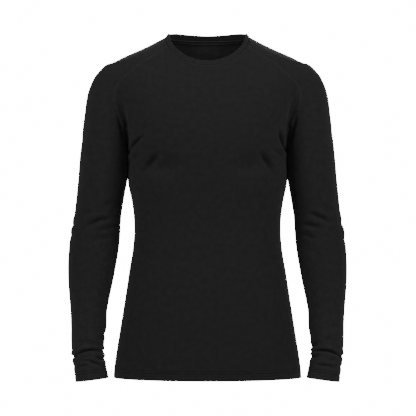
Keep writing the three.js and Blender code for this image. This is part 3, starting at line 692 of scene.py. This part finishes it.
def makeObject(name, points, faces, material, uv=None):
    # Puts arrays of points, in millimetres, and of four-sided faces into a smooth mesh object
    mesh = bpy.data.meshes.new(name)
    flat = np.asarray(points, float).reshape(-1, 3) * millimetre
    mesh.from_pydata(flat, [], faces.tolist())
    if uv is not None:
        layer = mesh.uv_layers.new(name="cloth")
        layer.data.foreach_set("uv", uv.reshape(-1, 2)[faces.ravel()].astype(np.float32).ravel())
    mesh.polygons.foreach_set("use_smooth", np.ones(len(faces), bool))
    mesh.materials.append(material)
    mesh.update()
    obj = bpy.data.objects.new(name, mesh)
    bpy.context.scene.collection.objects.link(obj)
    return obj


def outwardFaces(points, outward, faces):
    # Turns all the faces over if, on the whole, they look inwards
    flat, out = points.reshape(-1, 3), outward.reshape(-1, 3)
    a, b, c = (flat[faces[:, k]] for k in (0, 1, 2))
    looks = (np.cross(b - a, c - a) * out[faces[:, 0]]).sum()
    return faces[:, ::-1] if looks < 0 else faces


def weldSeam(obj):
    # Joins the two edges of a tube where they are the same points
    work = bmesh.new()
    work.from_mesh(obj.data)
    bmesh.ops.remove_doubles(work, verts=work.verts, dist=2e-6)
    work.to_mesh(obj.data)
    work.free()


def wallFaces(rows, columns, openRows):
    # Faces of a wall: the outer grid, the inner one turned over, and the edges between them.
    # From the row openRows on, the first and last columns meet and need no edge.
    outer = gridFaces(rows, columns)
    inner = outer[:, ::-1] + rows * columns
    index = np.arange(rows * columns).reshape(rows, columns)

    def strip(line, turned):
        a, b = line[:-1], line[1:]
        quads = np.stack([a, b, b + rows * columns, a + rows * columns], -1)
        return quads[:, ::-1] if turned else quads

    edges = [strip(index[0], False), strip(index[-1], True)]
    edges += [strip(index[:openRows + 1, 0], True), strip(index[:openRows + 1, -1], False)]
    return np.concatenate([outer, inner, *edges])


def clothPiece(name, node, form, grid, dents, turned, openRows, side=1, cuffPaintedLight=0.0):
    grid = drawnBack(grid, openRows)
    if side < 0:
        grid = mirrored(grid)
    points, outward = dressed(form, grid)
    outer, outward = turnedUnder(points - outward * dents[..., None], outward, turned)
    inner = outer - outward * cut["clothThickness"]
    rows, columns_ = outer.shape[:2]
    faces = wallFaces(rows, columns_, openRows)
    if side < 0:
        faces = faces[:, ::-1]
    both = np.concatenate([outer, inner])
    uv = measuredUv(outer)
    obj = makeObject(name, both, faces, jerseyMaterial, np.concatenate([uv, uv]))
    # The back of the knit is paler than its face, and painted light makes the sleeves a little paler towards the
    # cuffs, where the forearms lean forward into the light
    lower = cuffPaintedLight * smoothStep(-420, -690, outer[..., 2]).ravel()
    pale = obj.data.attributes.new("pale", "FLOAT", "POINT")
    pale.data.foreach_set("value", np.r_[lower, np.ones(rows * columns_)].astype(np.float32))
    if openRows < rows - 1:
        weldSeam(obj)
    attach(obj, "root")
    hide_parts(node)
    print(name, "made,", len(faces), "faces, area", round(areaOf(outer), 4),
          "widest", round(float(np.ptp(uv[..., 0], axis=1).max()), 4), "longest", round(float(uv[..., 1].max()), 4))
    return obj


def areaOf(points):
    # Square metres of a grid, as half the cross product of each cell's two diagonals
    a, b = points[1:, 1:] - points[:-1, :-1], points[:-1, 1:] - points[1:, :-1]
    return float(np.linalg.norm(np.cross(a, b), axis=-1).sum() / 2 * millimetre ** 2)


# Materials

def addNode(tree, kind, **settings):
    node = tree.nodes.new(kind)
    for key, value in settings.items():
        setattr(node, key, value)
    return node


def sums(tree, operation, first, second=None, clamp=False):
    # One maths node, whose inputs are sockets or numbers
    node = addNode(tree, "ShaderNodeMath", operation=operation, use_clamp=clamp)
    for socket, value in zip(node.inputs, (first, second)):
        if value is None:
            continue
        if isinstance(value, (int, float)):
            socket.default_value = value
        else:
            tree.links.new(value, socket)
    return node.outputs[0]


# pale is how much paler the knit's back face is; the same factor carries the painted light on the sleeves towards
# the cuffs
jersey = {"base": (0.0100, 0.0100, 0.0103), "pale": 1.75, "rough": 0.9, "specular": 0.12, "sheen": 0.03,
          "sheenRough": 0.55, "wale": 0.00085, "course": 0.0007, "relief": 0.0001, "heather": 0.22}
bandKnit = dict(jersey, base=(0.0094, 0.0094, 0.0097), wale=0.0011, course=0.0008)
binding = dict(bandKnit, base=(0.0190, 0.0190, 0.0193), wale=0.0009)
# The seam knit is lighter than the jersey: a painted highlight for the light that the raised seam ridges catch
seamKnitPaintedHighlight = dict(jersey, base=(0.0117, 0.0117, 0.0120))
# A thread about twice as light as the jersey: a painted highlight for the light lines along the seams and below the
# neckband
paintedHighlightThread = {"base": (0.0200, 0.0200, 0.0204), "rough": 0.6, "specular": 0.2, "twist": 900.0}
# Black sewing thread, made a little darker than the jersey as painted shade for the dark needle lines at the hems
# and cuffs
thread = {"base": (0.0086, 0.0086, 0.0089), "rough": 0.6, "specular": 0.2, "twist": 900.0}


def newMaterial(name):
    material = bpy.data.materials.new(name)
    material.use_nodes = True
    return material, material.node_tree, material.node_tree.nodes["Principled BSDF"]


def knitMaterial(name, knit):
    # Fine knit: each wale is an arch across, crossed by V-shaped loops, over a faint heather
    material, tree, shader = newMaterial(name)
    shader.inputs["Specular IOR Level"].default_value = knit["specular"]
    shader.inputs["Sheen Weight"].default_value = knit["sheen"]
    shader.inputs["Sheen Roughness"].default_value = knit["sheenRough"]
    place = addNode(tree, "ShaderNodeUVMap", uv_map="cloth")
    split = addNode(tree, "ShaderNodeSeparateXYZ")
    tree.links.new(place.outputs["UV"], split.inputs[0])
    wale = sums(tree, "DIVIDE", split.outputs["X"], knit["wale"])
    across = sums(tree, "FRACT", wale)
    arch = sums(tree, "SINE", sums(tree, "MULTIPLY", across, math.pi))
    slant = sums(tree, "ABSOLUTE", sums(tree, "SUBTRACT", across, 0.5))
    course = sums(tree, "ADD", sums(tree, "DIVIDE", split.outputs["Y"], knit["course"]), slant)
    loops = sums(tree, "SINE", sums(tree, "MULTIPLY", course, 2 * math.pi))
    height = sums(tree, "ADD", arch, sums(tree, "MULTIPLY", loops, 0.35))
    fuzz = addNode(tree, "ShaderNodeTexNoise", noise_dimensions="3D")
    fuzz.inputs["Scale"].default_value = 620.0
    fuzz.inputs["Detail"].default_value = 4.0
    mottle = addNode(tree, "ShaderNodeTexNoise", noise_dimensions="3D")
    mottle.inputs["Scale"].default_value = 85.0
    mottle.inputs["Detail"].default_value = 5.0
    for noise in (fuzz, mottle):
        tree.links.new(place.outputs["UV"], noise.inputs["Vector"])
    bump = addNode(tree, "ShaderNodeBump")
    bump.inputs["Strength"].default_value = 0.55
    bump.inputs["Distance"].default_value = knit["relief"]
    tree.links.new(sums(tree, "ADD", height, fuzz.outputs["Fac"]), bump.inputs["Height"])
    tree.links.new(bump.outputs["Normal"], shader.inputs["Normal"])
    both = sums(tree, "ADD", sums(tree, "MULTIPLY", fuzz.outputs["Fac"], 0.4),
                sums(tree, "MULTIPLY", mottle.outputs["Fac"], 0.6))
    tone = addNode(tree, "ShaderNodeValToRGB")
    dark = [c * (1 - knit["heather"]) for c in knit["base"]]
    light = [c * (1 + knit["heather"]) for c in knit["base"]]
    tone.color_ramp.elements[0].position = 0.35
    tone.color_ramp.elements[0].color = (*dark, 1)
    tone.color_ramp.elements[1].position = 0.65
    tone.color_ramp.elements[1].color = (*light, 1)
    tree.links.new(both, tone.inputs["Fac"])
    # The pale attribute makes the knit paler on its back face, and as painted light on the sleeves towards the cuffs
    face = addNode(tree, "ShaderNodeAttribute", attribute_name="pale")
    lighter = addNode(tree, "ShaderNodeMix", data_type="RGBA", blend_type="MULTIPLY")
    tree.links.new(face.outputs["Fac"], lighter.inputs["Factor"])
    tree.links.new(tone.outputs["Color"], lighter.inputs["A"])
    lighter.inputs["B"].default_value = (knit["pale"], knit["pale"], knit["pale"], 1)
    tree.links.new(lighter.outputs["Result"], shader.inputs["Base Color"])
    rough = sums(tree, "ADD", sums(tree, "MULTIPLY", mottle.outputs["Fac"], 0.12), knit["rough"] - 0.06)
    tree.links.new(rough, shader.inputs["Roughness"])
    return material


def threadMaterial(name, look):
    # Twisted thread: a slanted wave along the stitch, on object coordinates
    material, tree, shader = newMaterial(name)
    shader.inputs["Specular IOR Level"].default_value = look["specular"]
    shader.inputs["Roughness"].default_value = look["rough"]
    place = addNode(tree, "ShaderNodeTexCoord")
    wave = addNode(tree, "ShaderNodeTexWave", bands_direction="DIAGONAL")
    wave.inputs["Scale"].default_value = look["twist"]
    wave.inputs["Distortion"].default_value = 1.5
    tree.links.new(place.outputs["Object"], wave.inputs["Vector"])
    tone = addNode(tree, "ShaderNodeValToRGB")
    tone.color_ramp.elements[0].color = (*[c * 0.75 for c in look["base"]], 1)
    tone.color_ramp.elements[1].color = (*[c * 1.25 for c in look["base"]], 1)
    tree.links.new(wave.outputs["Fac"], tone.inputs["Fac"])
    tree.links.new(tone.outputs["Color"], shader.inputs["Base Color"])
    bump = addNode(tree, "ShaderNodeBump")
    bump.inputs["Strength"].default_value = 0.4
    bump.inputs["Distance"].default_value = 0.0001
    tree.links.new(wave.outputs["Fac"], bump.inputs["Height"])
    tree.links.new(bump.outputs["Normal"], shader.inputs["Normal"])
    return material


jerseyMaterial = knitMaterial("jersey", jersey)
bandMaterial = knitMaterial("neckband jersey", bandKnit)
bindingMaterial = knitMaterial("neck seam binding", binding)
seamMaterial = knitMaterial("seam jersey", seamKnitPaintedHighlight)
threadLook = threadMaterial("sewing thread", thread)
paintedHighlightThreadLook = threadMaterial("neck thread", paintedHighlightThread)

# The panels and sleeves
frontGrid, frontDents = bodyPanel(-1, frontSeamKnots, frontTurn, (0, frontTurn))
backGrid, backDents = bodyPanel(1, backSeamKnots, backTurn, (math.pi, backTurn))
sleevePoints, sleeveDents = sleeveGrid()
print("grids worked out")

allRows = len(frontGrid) + fine["turnSteps"] + fine["turnRows"]
pieces = {
    "front": clothPiece("front_panel", "front", bodyForm, frontGrid, frontDents, cut["hemTurn"], allRows),
    "back": clothPiece("back_panel", "back", bodyForm, backGrid, backDents, cut["hemTurn"], allRows),
    # Both sleeves get painted light, a little paler towards the cuffs
    "sleeveLeft": clothPiece("left_sleeve", "sleeve_left", sleeveForm, sleevePoints, sleeveDents,
                             cut["cuffTurn"], fine["capRows"], cuffPaintedLight=0.42),
    "sleeveRight": clothPiece("right_sleeve", "sleeve_right", sleeveForm, sleevePoints, sleeveDents,
                              cut["cuffTurn"], fine["capRows"], side=-1, cuffPaintedLight=0.42),
}

# The neckband: a folded strip on the neck seam
bandCut = {
    "turn": (0, 45, 70, 90, 105, 115, 125, 135, 155, 180), "stations": 420, "around": 36,
    "inward": (10, 10.4, 9, 7, 5.2, 4.6, 4.6, 5, 5.7, 6),
    "rise": (9.7, 8.6, 7.4, 7.4, 9, 10.6, 12.2, 12.6, 11.9, 10.6),
    "flat": (0.47, 0.0159),
    "share": (0.0, 0.06, 0.2, 0.5, 0.8, 0.94, 1.0, 0.96, 0.82, 0.5, 0.2, 0.05, 0.0),
    "lift": (0.1, 1.15, 0.75, 0.7, 1.0, 0.6, -0.55, -1.25, -1.55, -1.6, -1.5, -1.35, -0.9),
}


def neckRing(stations):
    # The whole neck seam in even steps, from the centre front round by the left
    turns = np.linspace(0, math.pi, 900)
    half = neckLoop(turns)
    ring = np.concatenate([half, mirrored(half[-2:0:-1]), half[:1]])
    return layOn(wornForm, shareOut(ring, evenly(stations))[:-1])


def aroundRing(seam):
    return unit(np.roll(seam, -1, 0) - np.roll(seam, 1, 0))


def downFrom(seam):
    # The way down from the neck seam along the cloth
    down = unit(np.cross(aroundRing(seam), outwardOf(wornForm, seam)))
    return down * -np.sign(down[:, 2:])


def bandFrame(seam):
    # At each place: the way up the band, its height and its outward direction
    radial = seam - np.array([0.0, neck["axisY"], 0.0])
    radial[:, 2] = 0
    radial = unit(radial)
    turn = np.degrees(np.arccos(np.clip((neck["sideHeight"] - seam[:, 2]) / np.where(
        seam[:, 1] < neck["axisY"], neck["frontDrop"], -neck["backDrop"]), -1, 1)))
    inward = hermite(bandCut["turn"], bandCut["inward"], turn)
    up = -radial * inward[:, None]
    up[:, 2] = hermite(bandCut["turn"], bandCut["rise"], turn)
    height = np.linalg.norm(up, axis=-1, keepdims=True)
    up = unit(up)
    outward = unit(np.cross(aroundRing(seam), up))
    outward *= np.sign((outward * radial).sum(-1, keepdims=True))
    return up, height, outward


def makeBand():
    # A rounded strip section carried round the neck seam; the seam end shares the panels' direction
    seam = neckRing(bandCut["stations"])
    up, height, outward = bandFrame(seam)
    seamOutward = outwardOf(wornForm, seam)
    seam = seam + seamOutward * cut["ease"]
    loop = np.linspace(0, len(bandCut["share"]) - 1, bandCut["around"])
    knots = np.arange(len(bandCut["share"]))
    share = hermite(knots, bandCut["share"], loop)
    lift = hermite(knots, bandCut["lift"], loop)
    climb = mix(cut["seamGap"] / 2, height, np.clip(share, 0, 1)[None])
    turnToBand = smoothStep(0, 0.3, share)[None, :, None]
    direction = unit(mix(seamOutward[:, None], outward[:, None], turnToBand))
    points = seam[:, None] + up[:, None] * climb[..., None] + direction * lift[None, :, None]
    rows, columns_ = points.shape[:2]
    closed = np.concatenate([points, points[:1]])
    faces = gridFaces(rows + 1, columns_, wrap=True)
    middle = points.mean(1, keepdims=True)
    away = np.concatenate([points - middle, (points - middle)[:1]])
    faces = outwardFaces(closed, away, faces)
    uv = np.stack(np.meshgrid(lengthAlong(closed[:, 0]), lengthAlong(points[0]), indexing="ij"), -1) * millimetre
    obj = makeObject("neckband_strip", closed, faces, bandMaterial, uv)
    weldSeam(obj)
    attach(obj, "root")
    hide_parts("neckband")
    print("neckband made")


makeBand()

# Sewing inside the neck: a flat binding on the neck seam, with a raised edge along each side
neckTape = {"width": 9.4, "start": -0.4, "edges": (1.6, 1.1), "middle": 0.4, "steps": 21}


def makeNeckTape():
    # A ribbon that follows the seam on the cloth's inner face; its two edges stand higher than its middle
    seam = neckRing(bandCut["stations"])
    down = downFrom(seam)
    t = evenly(neckTape["steps"] - 1)
    reach = mix(neckTape["start"], neckTape["width"], t)
    spread = layOn(wornForm, seam[:, None] + down[:, None] * reach[None, :, None], 4)
    top, out = dressed(wornForm, spread)
    rounded = (1 - np.abs(2 * t - 1) ** 4) ** 0.5
    raised = neckTape["middle"] + sum(height * np.exp(-((t - at) / 0.09) ** 2)
                                      for height, at in zip(neckTape["edges"], (0.14, 0.86)))
    face = top - out * (cut["clothThickness"] + raised * rounded)[None, :, None]
    base = top - out * (cut["clothThickness"] - 0.05)
    points = np.concatenate([face, base[:, -2:0:-1]], 1)
    closed = np.concatenate([points, points[:1]])
    faces = gridFaces(*closed.shape[:2], wrap=True)
    faces = outwardFaces(closed, closed - closed.mean(1, keepdims=True), faces)
    obj = makeObject("neck_seam_binding", closed, faces, bindingMaterial, measuredUv(closed))
    weldSeam(obj)
    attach(obj, "root")
    print("neck binding made")


makeNeckTape()

# Sewing: flat seams that cover the joins, and rows of stitches
flatSeam = {"width": 6.0, "narrow": 2.0, "lift": 0.62, "under": 1.15, "steps": 14, "ladder": 2.4,
            "narrowing": (-199, -190)}


def seamStrip(name, form, path, widths):
    # A ribbon laid over a join: rounded edges, a ridge at each needle line with a lower middle between them, and a
    # flat inside
    along = unit(np.gradient(path, axis=0))
    outward = outwardOf(form, path)
    across = unit(np.cross(along, outward))
    t = np.linspace(-1, 1, flatSeam["steps"])
    spread = path[:, None] + across[:, None] * (t[None, :, None] * widths[:, None, None] / 2)
    wide = smoothStep(3, 4.5, widths)[:, None, None]
    spread = mix(spread, layOn(form, spread, 4), wide)
    top, out = dressed(form, spread)
    out = unit(mix(outward[:, None] + 0 * out, out, wide))
    rounded = (1 - np.abs(t) ** 3) ** 0.5
    raised = 0.35 + 0.65 * np.exp(-((np.abs(t) - 0.68) / 0.2) ** 2)
    upper = top + out * (flatSeam["lift"] * rounded * raised + 0.02)[None, :, None]
    lower = (top - out * (flatSeam["under"] * rounded)[None, :, None])[:, ::-1]
    points = np.concatenate([upper, lower[:, 1:-1]], 1)
    faces = gridFaces(*points.shape[:2], wrap=True)
    faces = outwardFaces(points, points - points.mean(1, keepdims=True), faces)
    # The seam material is lighter than the jersey, a painted highlight along the seam ridges
    obj = makeObject(name, points, faces, seamMaterial, measuredUv(points))
    capEnds(obj)
    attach(obj, "root")
    return upper, out


def capEnds(obj):
    # Closes the open ends of a strip
    work = bmesh.new()
    work.from_mesh(obj.data)
    openEdges = [edge for edge in work.edges if edge.is_boundary]
    bmesh.ops.holes_fill(work, edges=openEdges)
    bmesh.ops.recalc_face_normals(work, faces=work.faces)
    work.to_mesh(obj.data)
    work.free()


def stitchMesh(centres, ways, outs, lengths, width, height):
    # Low half-round bars, each an arch of five by four points swept along its own way
    lengthwise = np.array([-0.5, -0.42, 0, 0.42, 0.5])
    fall = np.array([0.0, 0.8, 1.0, 0.8, 0.0])
    turn = np.linspace(0, math.pi, 4)
    side = unit(np.cross(ways, outs))
    endways = lengthwise[None, :, None, None] * lengths[:, None, None, None]
    sideways = np.cos(turn)[None, None, :, None] * width / 2 * mix(0.55, 1, fall)[None, :, None, None]
    upwards = (np.sin(turn)[None, None, :, None] * fall[None, :, None, None] - 0.25) * height
    body = centres[:, None, None] + ways[:, None, None] * endways
    body = body + side[:, None, None] * sideways
    body = body + outs[:, None, None] * upwards
    single = gridFaces(5, 4, wrap=True)
    faces = (single[None] + (np.arange(len(centres)) * 20)[:, None, None]).reshape(-1, 4)
    return body.reshape(-1, 3), faces


def makeStitches(name, parts, material=threadLook):
    # Joins many rows of stitches into one object
    points, faces, count = [], [], 0
    for body, quads in parts:
        points.append(body)
        faces.append(quads + count)
        count += len(body)
    obj = makeObject(name, np.concatenate(points), np.concatenate(faces), material)
    capEnds(obj)
    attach(obj, "root")
    print(name, "made,", len(obj.data.polygons), "faces")


def stitchRow(line, outs, pitch, length, width=0.55, height=0.3):
    # Stitches end to end along a line
    reach = lengthAlong(line)
    at = np.arange(pitch / 2, reach[-1], pitch)
    place, out = sampled(line, reach, at), unit(sampled(outs, reach, at))
    way = unit(sampled(line, reach, at + 0.5) - place + 1e-9)
    return stitchMesh(place, way, out, np.full(len(at), length), width, height)


def ladderRow(upper, out, pitch):
    # Threads that cross a flat seam from needle line to needle line, each on a slant
    left, right = upper[:, 3], upper[:, -4]
    reach = lengthAlong(left)
    at = np.arange(pitch / 2, reach[-1] - pitch, pitch)
    a, b = sampled(left, reach, at), sampled(right, reach, at + pitch / 2)
    middle = sampled(upper[:, upper.shape[1] // 2], reach, at + pitch / 4)
    outs = unit(sampled(out[:, out.shape[1] // 2], reach, at))
    return stitchMesh((a + b) / 4 + middle / 2, unit(b - a), outs, np.linalg.norm(b - a, axis=-1), 0.5, 0.35)


def sewFlatSeam(name, form, path, widths):
    upper, out = seamStrip(name, form, path, widths)
    wideEnough = widths > 4
    rows = [stitchRow(upper[wideEnough, k], out[wideEnough, k], 2.3, 1.9) for k in (3, -4)]
    rows.append(ladderRow(upper[wideEnough], out[wideEnough], flatSeam["ladder"]))
    return rows


def sleeveSeamWidths(seam):
    # Full width down to the armpit, and narrow under the arm, where there is no room
    return mix(flatSeam["narrow"], flatSeam["width"], smoothStep(*flatSeam["narrowing"], seam[:, 2]))


seamStitches = []
for sideName, place in (("left", lambda p: p), ("right", mirrored)):
    seamStitches += sewFlatSeam(f"{sideName}_front_sleeve_seam", wornForm, place(frontSeam[1:]),
                                sleeveSeamWidths(frontSeam)[1:])
    seamStitches += sewFlatSeam(f"{sideName}_back_sleeve_seam", wornForm, place(backSeam[1:]),
                                sleeveSeamWidths(backSeam)[1:])
    sideLevels = np.linspace(cut["armpitHeight"] - 3, cut["hemHeight"] + 3, 220)
    sidePath = sidePoints(0 * sideLevels, sideLevels)
    seamStitches += sewFlatSeam(f"{sideName}_side_seam", bodyForm, place(sidePath),
                                np.full(len(sidePath), flatSeam["width"]))
    underPath = sleevePoints[fine["capRows"] + 2:, 0]
    seamStitches += sewFlatSeam(f"{sideName}_underarm_seam", sleeveForm, place(underPath),
                                np.full(len(underPath), flatSeam["width"]))
# The seam and neck stitches use the lighter thread, a painted highlight along the seams
makeStitches("seam_stitches", seamStitches, paintedHighlightThreadLook)


def needleLines(form, grid, edge, turned):
    # The two needle lines of a turned edge, on the cloth's outer face
    rows = []
    for line in (turned - 1, turned - 1 - cut["needleGap"]):
        heights = grid[:, grid.shape[1] // 2, 2]
        row = np.argmin(np.abs(heights - (edge + line)))
        points, outward = dressed(form, grid[row])
        rows.append(stitchRow(points - outward * 0.85, outward, 3.0, 2.5))
    return rows


def neckLines():
    # Two rows of cover stitch, just below the neck seam on the panels and sleeves
    seam = neckRing(bandCut["stations"])
    down = downFrom(seam)
    rows = []
    for reach in (1.0, 2.1):
        points, outward = dressed(wornForm, layOn(wornForm, seam + down * reach, 4))
        rows.append(stitchRow(points + outward * 0.15, outward, 2.1, 1.9, width=0.8, height=0.45))
    return rows


makeStitches("neck_stitches", neckLines(), paintedHighlightThreadLook)
edgeStitches = needleLines(bodyForm, frontGrid, cut["hemHeight"], cut["hemTurn"])
edgeStitches += needleLines(bodyForm, backGrid, cut["hemHeight"], cut["hemTurn"])
for place in (lambda p: p, mirrored):
    edgeStitches += needleLines(sleeveForm, place(sleevePoints), cut["cuffHeight"], cut["cuffTurn"])
# The edge stitches use the darker thread: painted shade along the needle lines
makeStitches("edge_stitches", edgeStitches)

# The floor, the light and the camera
studio = {
    "floorHeight": -1.45, "floorSize": 14.0, "frameHeight": 416 * 2.087 * millimetre, "sensor": 36.0,
    "distance": 6.0, "middleHeight": (36 - 208) * 2.087 * millimetre,
}


def makeFloor():
    half = studio["floorSize"] / 2
    z = studio["floorHeight"]
    corners = np.array([(-half, -half, z), (half, -half, z), (half, half, z), (-half, half, z)]) / millimetre
    material, _, shader = newMaterial("pale floor")
    shader.inputs["Base Color"].default_value = (0.85, 0.85, 0.84, 1)
    shader.inputs["Roughness"].default_value = 0.8
    floor = makeObject("floor", corners, np.array([[0, 1, 2, 3]]), material)


def makeLight(name, place, aim, size, power):
    data = bpy.data.lights.new(name, "AREA")
    data.size = size
    data.energy = power
    light = bpy.data.objects.new(name, data)
    light.location = place
    way = Vector(np.array(aim) - np.array(place))
    light.rotation_euler = way.to_track_quat("-Z", "Y").to_euler()
    bpy.context.scene.collection.objects.link(light)


makeFloor()
makeLight("left light", (-1.45, -1.25, 0.85), (0, 0, -0.25), 0.7, 34)
makeLight("right light", (1.45, -1.25, 0.85), (0, 0, -0.25), 0.7, 37)
makeLight("front light", (0.1, -1.75, 0.15), (0, 0, -0.2), 0.6, 4.6)
makeLight("back light", (0.3, 3.2, 0.9), (0, 0, -0.35), 2.0, 130)


def makeWorld(shown, lit):
    # A white surrounding, whose light on the cloth is softer than the white that is seen behind it
    world = bpy.data.worlds.new("studio")
    world.use_nodes = True
    tree = world.node_tree
    seen = tree.nodes["Background"]
    seen.inputs["Color"].default_value = (1, 1, 1, 1)
    seen.inputs["Strength"].default_value = shown
    soft = addNode(tree, "ShaderNodeBackground")
    soft.inputs["Color"].default_value = (1, 1, 1, 1)
    soft.inputs["Strength"].default_value = lit
    path = addNode(tree, "ShaderNodeLightPath")
    both = addNode(tree, "ShaderNodeMixShader")
    tree.links.new(path.outputs["Is Camera Ray"], both.inputs[0])
    tree.links.new(soft.outputs[0], both.inputs[1])
    tree.links.new(seen.outputs[0], both.inputs[2])
    tree.links.new(both.outputs[0], tree.nodes["World Output"].inputs["Surface"])
    bpy.context.scene.world = world


makeWorld(shown=16.0, lit=0.2)

cameraData = bpy.data.cameras.new("camera")
cameraData.sensor_width = studio["sensor"]
cameraData.lens = studio["sensor"] * studio["distance"] / studio["frameHeight"]
cameraData.clip_end = 100
camera = bpy.data.objects.new("camera", cameraData)
camera.location = (0.001, -studio["distance"], studio["middleHeight"])
camera.rotation_euler = (math.pi / 2, 0, 0)
bpy.context.scene.collection.objects.link(camera)
bpy.context.scene.camera = camera
print("studio set")
